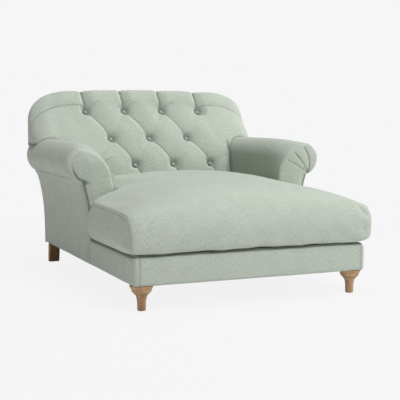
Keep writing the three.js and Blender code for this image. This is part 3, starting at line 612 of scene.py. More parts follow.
def arm_top_at(x):
    """Height of the arm's surface below a place of the wing."""
    out = np.abs(x)
    slope = DECK_TOP + (ROLL_Z - DECK_TOP) * (out - HALF_SEAT) / SCROLL_LEAN
    inside = np.clip(out, ROLL_X - ROLL_RADIUS, ROLL_X + ROLL_RADIUS)
    roll = ROLL_Z + np.sqrt(np.maximum(ROLL_RADIUS**2 - (inside - ROLL_X) ** 2, 0))
    height = np.where(out < ROLL_X - ROLL_RADIUS, slope, roll)
    height = np.where(out > ROLL_X, np.maximum(height, WING_SEAT_Z), height)
    return np.where(out < HALF_SEAT, DECK_TOP, height)


def bowed(start, end, bow):
    """A fold from start to end that rises above the straight line."""
    (x0, s0), (x1, s1) = start, end
    length = math.dist(start, end)
    across = ((s0 - s1) / length, (x1 - x0) / length)
    if across[1] < 0:
        across = (-across[0], -across[1])
    places = np.linspace(0, 1, 7)
    lift = bow * np.sin(math.pi * places)
    return [(lerp(x0, x1, t) + across[0] * h, lerp(s0, s1, t) + across[1] * h) for t, h in zip(places, lift)]


def fold_lines():
    """The folds, as downward lists of (x, length) with their sink at the start, in the middle and at the end, and
    how far the pad above slopes down to them: the crisp ones that run down to the right, then the soft valleys
    that cross them."""
    rows = button_places()
    crisp, soft = [], []
    for upper, lower in (("top", "middle"), ("middle", "low")):
        for high in rows[upper]:
            for low in rows[lower]:
                if abs(high[0] - low[0]) > BUTTON_PITCH * 0.75:
                    continue
                if low[0] > high[0]:
                    crisp.append((bowed(high, low, FOLD_BOW), FOLD_SINK, FOLD_MIDDLE, FOLD_SINK, SLOPE_REACH))
                else:
                    soft.append(([high, low], VALLEY_START, VALLEY_MIDDLE, VALLEY_SINK))
    for x, s in rows["low"]:
        line = [(x, s), (x + 0.03, s - 0.06), (x + 0.04, 0.0)]
        crisp.append((line, FOLD_SINK, FOLD_MIDDLE, FOLD_MIDDLE, SLOPE_REACH))
    crest = length_at(CREST_END)
    for x, s in rows["top"]:
        line = [(x - 0.014, crest), (x - 0.008, lerp(crest, s, 0.35)), (x - 0.002, lerp(crest, s, 0.7)), (x, s)]
        crisp.append((line, CREST_SINK, lerp(CREST_SINK, FOLD_SINK, 0.45), FOLD_SINK, CREST_REACH))
    return crisp, soft


def shade_distance(shade):
    """The distance to a fold that gives this much painted shade in the cloth's material."""
    return FOLD_FAR - (FOLD_FAR - FOLD_NEAR) * np.clip(shade / FOLD_DARK, 0, 1)


def fold_depth(place, start, middle, end, near, settled):
    """A fold's depth along it. From near each end on, the share of the way to its middle depth is settled."""
    depths = [start, lerp(start, middle, settled), middle, lerp(end, middle, settled), end]
    return np.interp(place, [0, near, 0.5, 1 - near, 1], depths)


def lip_share(distance):
    """The full round shape of the pad below a fold and past its ends."""
    near = np.clip(1 - distance / LIP_REACH, 0, 1)
    return 1 - np.sqrt(np.clip(1 - near**2, 0, 1))


def from_button(x, s, button):
    """Distance and direction from a button."""
    return np.hypot(x - button[0], s - button[1]), np.arctan2(s - button[1], x - button[0])


def tuft_sink(x, s):
    """How far the back is drawn in at a place, and the distance that sets its painted shade: to the nearest fold or
    button, nearer where painted shade lies in the sunken places and beside the wrinkles.
    """
    crisp, soft = fold_lines()
    total = np.zeros(np.shape(x))
    nearest = np.full(np.shape(x), 1.0)
    for line, start, middle, end, reach in crisp:
        side, along = side_of_polyline(x, s, line)
        above = (side >= 0) & (along > 0) & (along < 1)
        share = np.where(above, np.clip(1 - side / reach, 0, 1) ** SLOPE_POWER, lip_share(np.abs(side)))
        total += (fold_depth(along, start, middle, end, *FOLD_SETTLES) * share) ** BLEND_POWER
        nearest = np.minimum(nearest, np.where(above, side / FOLD_SHADE, np.abs(side)))
    for line, start, middle, end in soft:
        distance, along = to_polyline(x, s, line)
        depth = fold_depth(along / math.dist(*line), start, middle, end, *VALLEY_SETTLES)
        total += (depth * np.clip(1 - distance / VALLEY_REACH, 0, 1) ** 2) ** BLEND_POWER
    rows = button_places().values()
    for button in (button for row in rows for button in row):
        r, turn = from_button(x, s, button)
        reach = lerp(*WELL_REACH, (1 + np.cos(turn - WELL_TURN)) / 2)
        well = np.clip(1 - (r - WELL_FLAT) / reach, 0, 1) ** WELL_POWER
        # painted shade in a ring around each button
        nearest = np.minimum(nearest, np.maximum(r - BUTTON_RADIUS, 0))
        total += (WELL_SINK * well) ** BLEND_POWER
    sink = np.minimum(total ** (1 / BLEND_POWER), WELL_SINK)
    # painted shade, darker where the pad sinks deeper
    shade = SINK_SHADE * smooth((sink - 0.010) / (BUTTON_SINK - 0.010))
    for i, button in ((i, button) for row in rows for i, button in enumerate(row)):
        r, turn = from_button(x, s, button)
        fade = dip(r - WRINKLE_RING[0], WRINKLE_RING[1])
        rays = np.sin(WRINKLES * turn + 5 * i + 40 * button[1]) * (0.6 + 0.4 * np.sin(3 * turn + i))
        # the wrinkles' painted shade lies up and to the right of each button, where the cloth faces away from the
        # lamps
        sector = smooth((1.1 + np.cos(turn - 0.8)) / 1.2)
        sink = sink + WRINKLE_DEPTH * fade * rays * sector
        shade = shade + WRINKLE_SHADE * fade * (rays + 0.6) * sector
    return sink, np.minimum(nearest, shade_distance(shade))


def back_columns():
    """The columns of the back's grid: each one's x, how slim the wing is there, and how far its side wall has
    turned to the rear."""
    half_flat = HALF_BACK - WING_EDGE
    inner, _ = resample([(-half_flat, 0), (half_flat, 0)], GRID)
    turn = quarter(26)[1:]
    wall = np.linspace(0, 1, 14)[1:]
    edge = half_flat + WING_EDGE * np.sin(turn)
    slim = np.concatenate([WING_SLIM * (1 - np.cos(turn)), np.full(len(wall), WING_SLIM)])
    edge = np.concatenate([edge, np.full(len(wall), HALF_BACK)])
    to_rear = np.concatenate([0 * turn, wall])
    none = np.zeros(len(inner))
    return (
        np.concatenate([-edge[::-1], inner[:, 0], edge]),
        np.concatenate([slim[::-1], none, slim]),
        np.concatenate([to_rear[::-1], none, to_rear]),
    )


def build_back():
    x, slim, to_rear = back_columns()
    front = FINE_PLACES < CREST_END
    start_z = np.maximum(arm_top_at(x) - 0.004, DECK_TOP + 0.0005)
    start = np.interp(start_z, FINE_PROFILE[front, 1], FINE_LENGTHS[front])
    end = FINE_LENGTHS[-1]
    s = lerp(start[None, :], end, np.linspace(0, 1, int(end / GRID))[:, None])
    x = np.broadcast_to(x, s.shape)
    out = np.abs(x)
    point, normal = profile_at(s)
    depth, z = point[..., 0], point[..., 1]
    sink, nearest = tuft_sink(x, s)

    beside_seat = np.where(out < ROLL_X - ROLL_RADIUS, HALF_SEAT - out, 0.0)
    over_arm = np.maximum(z - arm_top_at(x), 0)
    turned = ARM_TURN_IN[0] * fading(beside_seat, TURN_REACH)
    sink += np.where((out > HALF_SEAT - 0.06) & (z < ROLL_Z), turned, 0)
    sink += np.where(out > HALF_SEAT, ARM_TURN_IN[1] * fading(over_arm, TURN_REACH), 0)
    sink += UNEVEN * ripple(x * 40, s * 30, seed=3)
    # painted shade where the pad meets the arms' tops and their inner faces
    joint = np.where(out > HALF_SEAT - 0.02, over_arm * JOINT_SHADE, 1.0)
    lean = SCROLL_LEAN * np.clip((z - DECK_TOP) / (ROLL_Z - DECK_TOP), 0, 1)
    beside = np.abs(HALF_SEAT + lean - out) * ARM_JOINT_SHADE
    beside = np.where((z < ARM_TOP - 0.02) & (out < ROLL_X), beside, 1.0)
    nearest = np.minimum(nearest, np.minimum(joint, beside))

    depth = depth - sink * normal[..., 0]
    z = z - sink * normal[..., 1]
    stretch = (crest_at(x) - ARM_TOP) / (BACK_TOP - ARM_TOP)
    z = np.where(z > ARM_TOP, ARM_TOP + (z - ARM_TOP) * stretch, z)
    rear = REAR_INSIDE - 0.001
    depth = lerp(np.minimum(lerp(depth, BASE_DEPTH, slim), rear), rear, to_rear)
    seam, along = to_polyline(out, s, wing_seam())
    depth = depth + WING_GROOVE[0] * dip(seam, WING_GROOVE[1])
    points = in_row(x, depth, z)
    obj = mesh_object(
        "back_tufting", points, grid_faces(*s.shape), stacked(x, s, 0), seam=seam, along=along, fold=nearest,
    )
    dress(obj, "upholstery", "back_tufted_pad", fill=0.85)


def wing_seam():
    """The seam that runs from the outermost top button to the side of the wing, as (|x|, length)."""
    top = length_at(BUTTON_ROWS[2])
    outermost = 1.5 * BUTTON_PITCH
    return [(outermost + x, top + s) for x, s in WING_SEAM] + [(HALF_BACK - x, top + s) for x, s in WING_SEAM_END]


def lathe(profile, sides):
    """Rings of points around +z from (radius, height) pairs, and the angles of their points."""
    angle = np.linspace(0, 2 * math.pi, sides, endpoint=False)
    radius, height = np.array(profile, dtype=float).T[..., None]
    return stacked(radius * np.cos(angle), radius * np.sin(angle), height), angle


def build_buttons():
    profile = [(0.0005, BUTTON_DOME)]
    for t in np.linspace(0, 1, 9)[1:]:
        radius = BUTTON_RADIUS * math.sin(t * math.pi / 2) ** 0.9 + 1e-5
        profile.append((radius, BUTTON_DOME * math.cos(t * math.pi / 2)))
    profile += [(BUTTON_RADIUS * 0.98, -0.0015), (BUTTON_RADIUS * 0.8, -0.004), (BUTTON_RADIUS * 0.2, -0.005)]
    plain, angle = lathe(profile, BUTTON_SIDES)
    rim_share = np.array(profile)[:, :1] / BUTTON_RADIUS
    faces = grid_faces(len(profile), BUTTON_SIDES, closed=True, flip=True)
    for row, places in button_places().items():
        for i, (x, s) in enumerate(places):
            (d, z), normal = profile_at(s)
            rings = plain.copy()
            rings[..., 2] += 0.0004 * np.sin(7 * angle + x * 30) * rim_share**2
            rings = rings.reshape(-1, 3)
            out = Vector((0, *normal))
            foot = Vector((x, d + FRONT_Y, z)) + out * -BUTTON_FOOT
            turn = Vector((0, 0, 1)).rotation_difference(out).to_matrix()
            obj = mesh_object(f"button_{row}_{i + 1}", rings @ np.array(turn).T + np.array(foot), faces, rings)
            dress(obj, "button_cover", f"back_button_{row}_{i + 1}")


# Arms

PAD_LOW = DECK_TOP - 0.02  # the arms' pads reach down behind the cushion to here
ARM_FRONT_ROUND = 0.016
HIP_RISE = 0.280
FRONT_POWER = 10
SCROLL_SHARES = [  # front end of the roll: degrees up from its outer side, share of the radius
    (-62, 1), (-44, 1.08), (-20, 1.13), (3, 1.14), (20, 1.1), (37, 1.04), (54, 0.97),
    (70, 0.84), (96, 0.7), (126, 0.67), (146, 0.72), (165, 0.83), (180, 0.95),
]
LEFT_SCROLL_SHARES = [(-80, 1.1), (-62, 1.17), (-44, 1.17), (-20, 1.15)] + SCROLL_SHARES[3:]  # this end sags
LEFT_TUCK = math.radians(-80)
LEFT_FRONT_ROUND = 0.027
LEFT_STEM_ROUND = 0.010
LEFT_STEM_DRAW = 0.005
LEFT_STEM_TOP = 0.115  # below the roll's centre, where the stem's rounding starts to widen into the roll's
PLEAT_ROOT = (0.049, -0.075)  # from the roll's centre, where the pleats meet at the tuck
ARM_PLEATS = [(0.027, 0.051, 0.016), (-0.026, 0.026, 0.004), (-0.063, -0.012, 0.002)]  # start from that centre, bow
LEFT_GATHER = [(0.080, 0.030), (0.081, 0.010), (0.079, -0.012), (0.072, -0.042), (0.054, -0.073), (0.021, -0.092)]
PLEAT_DENTS = [(0.0034, 0.0018), (0.0015, 0.009)]  # depth and width of a pleat's crease and of the dent around it
CREASE = (0.006, 0.007)  # depth and width of the left arm's crease, and of the small gathers beside it
GATHERS = (0.0012, 0.016)
FRONT_FADE = 0.014  # within this behind the front, its pleats and unevenness give way to the arm's own
KNOT_DEPTH = 0.004  # of the dent where the pleats or gathers meet
LEFT_SLUMP = 0.007  # how far the left roll's top has sunk, near its front end
FACING_PUFF = 0.006
PANEL_SHADE = 0.24  # how dark the painted shade on the side panels is beside the arms' fronts
PANEL_ROUND = (0.009, 0.004)  # how far a panel's edge is rounded off, and within what distance
PANEL_TURN = 0.010  # how far it is turned in beyond that
PANEL_FRONT_TURN = 0.003  # at its front edge above the deck, where the arm's stem covers it


def flare_x(z):
    share = np.clip((z - LEG_HEIGHT) / (TUCK_Z - LEG_HEIGHT), 0, 1)
    return HALF_BASE + (TUCK_X - HALF_BASE) * share**3


def scroll_radius(angle, shares):
    """Radius of the arm's front end at an angle from its outer side."""
    degrees, share = np.array(shares, dtype=float).T
    turn, radius = np.radians(degrees), ROLL_RADIUS * share
    fine = curve(stacked(radius * np.cos(turn), radius * np.sin(turn)), np.linspace(0, 1, 400))
    fine_turn = np.unwrap(np.arctan2(fine[:, 1], fine[:, 0]))
    return np.interp(angle, fine_turn, np.hypot(fine[:, 0], fine[:, 1]))


def arm_outline(front, side):
    """The arm's section as (x, z), from its inner foot over the roll and down its outer side.
    front is 1 at the front end, where the roll is pushed out of round."""
    right = side > 0
    angle = np.linspace(math.pi, TUCK_ANGLE if right else lerp(TUCK_ANGLE, LEFT_TUCK, front), 120)
    radius = lerp(ROLL_RADIUS, scroll_radius(angle, SCROLL_SHARES if right else LEFT_SCROLL_SHARES), front)
    roll = stacked(ROLL_X + radius * np.cos(angle), ROLL_Z + radius * np.sin(angle))
    hip_x = lerp(HALF_SEAT + SCROLL_LEAN * HIP_RISE / (ROLL_Z - DECK_TOP), HALF_SEAT - 0.002, front)
    hip = (hip_x, DECK_TOP + HIP_RISE)
    waist = (lerp(HALF_SEAT, hip_x, 0.5), DECK_TOP + HIP_RISE / 2)
    face = curve([(HALF_SEAT, PAD_LOW), waist, hip, (roll[0, 0], ROLL_Z)], np.linspace(0, 1, 80))
    z = np.linspace(PAD_LOW, ROLL_Z, 60)[:-1]
    inner = stacked(np.interp(z, face[:, 1], face[:, 0]), z)
    outer_z = np.linspace(roll[-1, 1] - 0.004, PAD_LOW, 60)
    drawn = 0 if right else LEFT_STEM_DRAW * front
    outer = stacked(flare_x(outer_z) - 0.006 - drawn, outer_z)
    return np.vstack([inner, roll, outer])


def arm_skeleton(points):
    """The nearest place on the arm section's middle line."""
    a = np.array([ROLL_X, ROLL_Z])
    b = np.array([(HALF_SEAT + HALF_BASE) / 2 + 0.004, PAD_LOW])
    along = b - a
    share = np.clip((points - a) @ along / (along @ along), 0, 1)
    return a + share[:, None] * along


def arm_grid(side):
    """An arm's surface as sections (x, d, z) from the rear to the middle of its front, and the length around them."""
    outline, lengths = resample(arm_outline(1.0, side), GRID)
    round_off = np.full(len(outline), ARM_FRONT_ROUND)
    if side < 0:
        stem = smooth((outline[:, 1] - ROLL_Z + LEFT_STEM_TOP) / 0.03)
        round_off = lerp(LEFT_STEM_ROUND, LEFT_FRONT_ROUND, stem)
    start = ARM_SETBACK + float(round_off.max())
    even = np.linspace(0, 1, len(outline))
    middle = arm_skeleton(outline)
    inward = middle - outline
    reach = np.linalg.norm(inward, axis=1, keepdims=True)
    inward = inward / reach
    rings = []
    for d in np.linspace(REAR_INSIDE, start, 200):
        share = (d - start) / (REAR_INSIDE - start)
        section, _ = resample(arm_outline((1 - share) ** FRONT_POWER, side), GRID)
        x, z = (np.interp(even, np.linspace(0, 1, len(section)), part) for part in section.T)
        rings.append(stacked(x, d, z))
    for angle in quarter(14)[1:]:
        ring = outline + inward * np.minimum(round_off[:, None] * (1 - math.cos(angle)), reach * 0.5)
        rings.append(stacked(ring[:, 0], ARM_SETBACK + round_off * (1 - math.sin(angle)), ring[:, 1]))
    for share in np.linspace(0, 1, 24)[1:]:
        face = lerp(ring, middle, share)
        rings.append(stacked(face[:, 0], ARM_SETBACK - FACING_PUFF * math.sin(share * math.pi / 2), face[:, 1]))
    return np.moveaxis(np.array(rings), -1, 0), lengths


def pleated(x, d, z, on_front):
    """The right arm's front with its pleats drawn in, the distance to them that sets their painted shade, and the
    place where they meet.
    """
    root = (ROLL_X + PLEAT_ROOT[0], ROLL_Z + PLEAT_ROOT[1])
    fold = np.full(x.shape, 1.0)
    for i, (dx, dz, bow) in enumerate(ARM_PLEATS):
        distance, _ = to_polyline(x, z, bowed((ROLL_X + dx, ROLL_Z + dz), root, bow))
        d = d + on_front * sum(depth * dip(distance, width) for depth, width in PLEAT_DENTS)
        fold = np.minimum(fold, distance + 0.0008 * i + 1 - on_front)
    return d, fold, root


def gathered(x, d, z):
    """The left arm's front with its gathered crease drawn in, the distance to it that sets its painted shade, and its
    end.
    """
    line = [(ROLL_X + dx, ROLL_Z + dz) for dx, dz in LEFT_GATHER]
    away, along = side_of_polyline(x, z, line)
    firm = smooth(along * 1.6) * smooth((ARM_SETBACK + 0.03 - d) / 0.02)
    gathers = np.where(away > 0, dip(away, GATHERS[1]), 0) * np.sin(along * 75 + 9 * np.sin(along * 11))
    d = d + firm * (CREASE[0] * dip(away, CREASE[1]) + GATHERS[0] * gathers)
    return d, np.minimum(1.0, np.abs(away) * 0.75 + 0.004 * (1 - firm)), line[-1]


def build_arm(side, name):
    (x, d, z), lengths = arm_grid(side)
    on_front = smooth((ARM_SETBACK + FRONT_FADE - d) / FRONT_FADE)
    d, fold, knot = pleated(x, d, z, on_front) if side > 0 else gathered(x, d, z)
    d = d + on_front * KNOT_DEPTH * dip(np.hypot(x - knot[0], z - knot[1]), 0.012)
    swell = 0.0015 * ripple(x * 30, (d + z) * 22, seed=5) * on_front
    swell = swell + UNEVEN * ripple(d * 16, z * 20 + x * 20, seed=6) * (1 - on_front)
    d = d + swell * on_front
    z = z + swell * (1 - on_front)
    if side < 0:
        z = z - LEFT_SLUMP * smooth((z - TUCK_Z) / 0.09) * smooth((ARM_SETBACK + 0.55 - d) / 0.3)
    facing = (d < ARM_SETBACK + 0.012)[..., None]
    cloth = np.where(facing, stacked(x, z, 0), stacked(d, lengths, 0))
    return mesh_object(name, in_row(side * x, d, z), grid_faces(*x.shape, flip=side > 0), cloth, fold=fold)


def build_arms():
    for side, word in SIDES:
        obj = build_arm(side, f"arm_cover_{word}")
        dress(obj, "upholstery", f"arm_roll_pad_{word}", f"arm_front_facing_{word}", fill=0.8)


def build_side_panels():
    """Outside of each arm, from the underside up to the tuck under the roll."""
    z = np.linspace(LEG_HEIGHT, TUCK_Z + 0.004, 90)
    d = np.linspace(ARM_SETBACK + 0.0005, REAR_INSIDE + 0.011, 200)
    dd, zz = np.meshgrid(d, z)
    edge = np.minimum.reduce([dd - d[0], d[-1] - dd, (zz - z[0]) * 1.5, (z[-1] - zz) * 2.0])
    rounded_off = PANEL_ROUND[0] * fading(edge, PANEL_ROUND[1])
    x = flare_x(zz) - rounded_off - 0.001 + UNEVEN * ripple(dd * 12, zz * 16, seed=7)
    for side, word in SIDES:
        low_edge = in_row(side * (x[:1] - PANEL_TURN), dd[:1], zz[:1])
        grid = np.concatenate([low_edge, in_row(side * x, dd, zz)])
        front, rear = grid[:, :1].copy(), grid[:, -1:].copy()
        front[..., 0] -= side * np.where(front[..., 2] < DECK_TOP, PANEL_TURN, PANEL_FRONT_TURN)
        rear[..., 0] -= side * PANEL_TURN
        grid = np.concatenate([front, grid, rear], axis=1)
        px, py, pz = np.moveaxis(grid, -1, 0)
        behind = py - py.min()
        # painted shade along the tuck under the roll and the front edge, and beside the arm's front
        tuck = np.maximum(np.minimum(z[-1] - pz, 3 * behind), 0) * JOINT_SHADE
        tuck = np.minimum(tuck, shade_distance(PANEL_SHADE * np.clip(1 - behind / 0.09, 0, 1) ** 1.5))
        faces = grid_faces(*px.shape, flip=side < 0)
        obj = mesh_object(f"outer_arm_{word}", grid, faces, stacked(py, pz, 0), fold=tuck)
        dress(obj, "upholstery", f"outer_arm_panel_{word}", fill=0.9)


# Base border, deck and outside back

BORDER_CORNER = 0.024
BORDER_TOP_ROUND = 0.029
BORDER_LOW_ROUND = 0.014
BORDER_UNDER = 0.030  # how far it is turned in under the frame, and over the deck's edge
BORDER_OVER = 0.075
BORDER_SEAM = 0.026  # its two upright seams' distance from the corners
BORDER_DENT = (0.0025, 0.003)  # depth and width of the dent along a seam
BORDER_SHADE = 0.220  # its front gets the painted shade of the cushion above this height
SHADE_RISE = (0.001, 0.006)  # that shade starts this much higher at the sides, and in front
SHADE_INSET = 0.019  # and stops this far in, so that the lifted cushion leaves a thin line
DECK_MARGIN = 0.05
DECK_SINK = 0.0035  # how far its middle height lies under the CAD deck's top
DECK_SEAMS = (0.16, 0.04)  # from the base's front, from the arms
DECK_DENT = (0.002, 0.003)
OUTER_MARGIN = 0.006  # the outside back's edge lies this far inside the silhouette
OUTER_ROUND = (0.009, 0.005)


def build_border():
    turn = quarter(16)
    corner = [(HALF_BASE - BORDER_CORNER * (1 - math.sin(a)), BORDER_CORNER * (1 - math.cos(a))) for a in turn]
    path = [(-HALF_BASE, ARM_SETBACK)] + [(-x, d) for x, d in corner[::-1]] + corner + [(HALF_BASE, ARM_SETBACK)]
    path, along = resample(path, GRID)
    tangent = np.gradient(path, axis=0)
    tangent /= np.linalg.norm(tangent, axis=1, keepdims=True)
    low, top = BORDER_LOW_ROUND, BORDER_TOP_ROUND
    section = [(-BORDER_UNDER, LEG_HEIGHT + 0.001)]
    section += [(-low * (1 - math.sin(a)), LEG_HEIGHT + low * (1 - math.cos(a))) for a in quarter(10)]
    section += [(-top * (1 - math.cos(a)), DECK_TOP - top * (1 - math.sin(a))) for a in turn]
    section += [(-BORDER_OVER, DECK_TOP - 0.002)]
    section, up = resample(section, GRID)

    def moved(x, d, out):
        return x + out * tangent[:, 1], d + out * -tangent[:, 0]

    x, d = moved(*path.T, section[:, :1])
    z = np.broadcast_to(section[:, 1:], x.shape)
    x, d = moved(x, d, UNEVEN * ripple(along * 9, z * 30, seed=11))
    seams = [along_of(path, along, side * (HALF_BASE - BORDER_SEAM)) for side, _ in SIDES]
    seam = np.minimum(*(np.abs(along - at) for at in seams))
    x, d = moved(x, d, -BORDER_DENT[0] * dip(seam, BORDER_DENT[1]))
    # painted shade under the cushion's edge, on the border's top
    shade = np.maximum(BORDER_SHADE + np.where(d > 0.03, *SHADE_RISE) - z, 0) * 0.7
    shade = np.where(section[:, :1] > -SHADE_INSET, shade, 1.0)
    seam = np.broadcast_to(seam * 0.8, x.shape)
    cloth = stacked(along, up[:, None], 0)
    obj = mesh_object(
        "base_border_cover", in_row(x, d, z), grid_faces(*x.shape), cloth, seam=seam, along=z, fold=shade,
    )
    dress(obj, "upholstery", "base_border", fill=0.9)


def along_of(path, along, x):
    """Length along the border at which its front passes an x."""
    front = path[:, 1] < 0.01
    return float(np.interp(x, path[front, 0], along[front]))


def build_deck():
    """Platform under the loose cushion: a thin pad that fills the frame."""
    half = HALF_BASE - DECK_MARGIN
    xx, dd = np.meshgrid(
        np.linspace(-half, half, 160), np.linspace(DECK_MARGIN, BASE_DEPTH - FOOT_THICKNESS + 0.02, 170),
    )
    xx = np.where(dd > ARM_SETBACK, xx * (HALF_SEAT - 0.001) / half, xx)
    zz = DECK_TOP - DECK_SINK + 0.0015 * ripple(xx * 12, dd * 12, seed=13)
    seam = np.minimum(np.abs(dd - DECK_SEAMS[0]), np.abs(np.abs(xx) - (HALF_SEAT - DECK_SEAMS[1])))
    zz = zz - DECK_DENT[0] * dip(seam, DECK_DENT[1])
    faces = grid_faces(*xx.shape)
    obj = mesh_object("seat_platform", in_row(xx, dd, zz), faces, stacked(xx, dd, 0), seam=seam, along=dd)
    dress(obj, "upholstery", "seat_deck", fill=1.0)


def build_outer_back():
    """Outside back: one panel, its edge turned under along the silhouette."""
    half = HALF_BACK - OUTER_MARGIN
    columns = np.linspace(-half, half, 161)
    top = crest_at(columns * HALF_BACK / half) - 0.008
    z = lerp(LEG_HEIGHT, top, np.linspace(0, 1, 150)[:, None])
    half_there = np.interp(z, *silhouette_half())
    x = columns / half * half_there
    edge = np.minimum.reduce([half_there - np.abs(x), top - z, z - LEG_HEIGHT])
    rounded_off = OUTER_ROUND[0] * fading(edge, OUTER_ROUND[1])
    d = np.minimum(BASE_DEPTH - rounded_off + 0.001 * ripple(x * 10, z * 10, seed=17) - 0.001, BASE_DEPTH)
    obj = mesh_object("outer_back_cover", in_row(x, d, z), grid_faces(*x.shape, flip=True), stacked(x, z, 0))
    dress(obj, "upholstery", "outer_back_panel", fill=0.9)


def silhouette_half():
    """Heights and half widths of the rear silhouette below the wings' corners."""
    levels = np.linspace(LEG_HEIGHT, BACK_TOP, 200)
    roll = ROLL_X + np.sqrt(np.maximum(ROLL_RADIUS**2 - (levels - ROLL_Z) ** 2, 0))
    half = np.where(levels < WING_SEAT_Z, roll - 0.002, HALF_BACK - OUTER_MARGIN)
    return levels, np.where(levels < TUCK_Z, flare_x(levels) - 0.001, half)


# Loose seat cushion

CUSHION_EDGE = 0.168
CUSHION_CROWN = 0.100
CUSHION_DROOP = 0.020
CUSHION_FRONT_DRAW = 0.022
CUSHION_HALF = HALF_BASE + CUSHION_OVERHANG
CUSHION_NECK = HALF_SEAT - 0.004
CUSHION_NECK_FRONT = ARM_SETBACK - 0.008
CUSHION_BACK = BASE_DEPTH - FOOT_THICKNESS - 0.008
CUSHION_FLOOR = DECK_TOP + 0.0003
CUSHION_LIFT = 0.010  # the lower edges stand off the deck in front and at the ears
CUSHION_SLACK = 0.001  # how far the case is cut inside the filled cushion
CUSHION_CORNER = 0.060  # plan radii of the front corners, the ears and the corners between the arms
CUSHION_EAR = 0.070
CUSHION_INNER = 0.030
EAR_ROUND = 0.032
CASE_LEVELS = 26
CASE_INSET = 0.014  # the most that the side of the case is drawn in, and its share from the bottom up
INSET_LEVELS = [0, 0.04, 0.12, 0.3, 0.6, 0.85, 1]
INSET_SHARES = [1.0, 0.45, 0.15, 0.04, 0.02, 0.2, 0.8]
CUSHION_SPACING = 0.010
CUSHION_PRESSURE = 4.0
CUSHION_FRAMES = 20
CUSHION_SWELL = 0.014  # the most that the cloth may move
SEAM_DROP = 0.012  # the seam runs lower towards the front
GUSSET_CORNER = 0.055  # radius of the seam's turn at the front corners
SEAM_HOLD = 0.006
UNDERSIDE = 0.006  # below this height above the deck, the cloth lies still


def rounded(corners, count):
    """An outline whose corners (x, d, radius) are rounded."""
    points = []
    for i, (x, d, radius) in enumerate(corners):
        here = np.array([x, d])
        back = np.array(corners[i - 1][:2]) - here
        on = np.array(corners[(i + 1) % len(corners)][:2]) - here
        start = here + back / np.linalg.norm(back) * radius
        end = here + on / np.linalg.norm(on) * radius
        for t in np.linspace(0, 1, count):
            points.append((1 - t) ** 2 * start + 2 * t * (1 - t) * here + t * t * end)
    return np.array(points)


def front_share(d):
    return fading(d + CUSHION_OVERHANG, 0.060)


def ear_share(x, d):
    """1 near the cushion's rear corners in front of the arms, 0 away from them."""
    return fading(np.hypot(np.abs(x) - CUSHION_HALF, d - CUSHION_NECK_FRONT), 0.055)


def cushion_edge(d):
    return CUSHION_EDGE - CUSHION_DROOP * front_share(d)


def cushion_top(x, d):
    across = 1 - np.abs(x / CUSHION_HALF) ** 3
    front = 1 - np.exp(-(d + CUSHION_OVERHANG) / 0.110)
    rear = 1 - np.exp((d - CUSHION_BACK) / 0.040)
    return cushion_edge(d) + CUSHION_CROWN * across * front * rear


def cushion_plan():
    """The cushion's T-shaped outline and its inward direction at each point."""
    right = [
        (CUSHION_HALF, -CUSHION_OVERHANG, CUSHION_CORNER), (CUSHION_HALF, CUSHION_NECK_FRONT, CUSHION_EAR),
        (CUSHION_NECK, CUSHION_NECK_FRONT, CUSHION_INNER), (CUSHION_NECK, CUSHION_BACK, CUSHION_INNER),
    ]
    left = [(-x, d, radius) for x, d, radius in right]
    ring = rounded([left[0], *right, *left[:0:-1]], 12)
    ring, _ = resample(np.vstack([ring, ring[:1]]), 0.010)
    ring = ring[:-1]
    tangent = np.roll(ring, -1, axis=0) - np.roll(ring, 1, axis=0)
    tangent /= np.linalg.norm(tangent, axis=1, keepdims=True)
    return ring, stacked(-tangent[:, 1], tangent[:, 0])


def cushion_case():
    """The cushion's case before it is filled, as a grid of closed rings, and its plan outline."""
    ring, inward = cushion_plan()
    along_x, depth = ring.T
    free = smooth((CUSHION_NECK_FRONT - depth) / 0.05 + 0.5)  # not held between the arms
    beside = smooth((depth - 0.02) / 0.05)
    ear = ear_share(along_x, depth)
    uneven = 1 + 0.35 * np.sin(along_x * 21 + 1.0) + 0.25 * np.sin(along_x * 47)
    lift = CUSHION_LIFT * free * (1 - 0.5 * beside) * (1 - 0.8 * ear) * uneven
    rings = []
    for level in np.linspace(0, 1, CASE_LEVELS):
        inset = CASE_INSET * np.interp(level, INSET_LEVELS, INSET_SHARES)
        by = CUSHION_SLACK * free + inset + EAR_ROUND * ear * abs(2 * level - 1) ** 3
        x, d = (ring + inward * by[:, None]).T
        drawn = np.interp(level, [0, 0.1, 0.4, 0.7, 1], [0.5, 0.15, 0, 0.1, 0.6])
        d = d + CUSHION_FRONT_DRAW * drawn * front_share(d)
        rings.append(stacked(x, d, CUSHION_FLOOR + lift * (1 - level) + level * (cushion_edge(d) - EAR_ROUND * ear)))
    foot, rim = rings[0], rings[-1]
    spine = [lerp(-CUSHION_OVERHANG, CUSHION_BACK, share) for share in (0.25, 0.85)]

    def towards_spine(edge, share):
        return lerp(edge[:, 0], 0, share), lerp(edge[:, 1], np.clip(edge[:, 1], *spine), share)

    for share in np.concatenate([np.linspace(0, 0.2, 20)[1:], np.linspace(0.2, 1, 40)[1:]]):
        x, d = towards_spine(rim, share)
        rings.append(stacked(x, d, CUSHION_FLOOR + cushion_top(x, d)))
    under = []
    for share in np.linspace(1, 0, 26)[:-1] ** 1.5:
        x, d = towards_spine(foot, share)
        inner = np.hypot(x - foot[:, 0], d - foot[:, 1])
        under.append(stacked(x, d, CUSHION_FLOOR + lift * fading(inner, 0.035)))
    return np.array(under + rings), ring


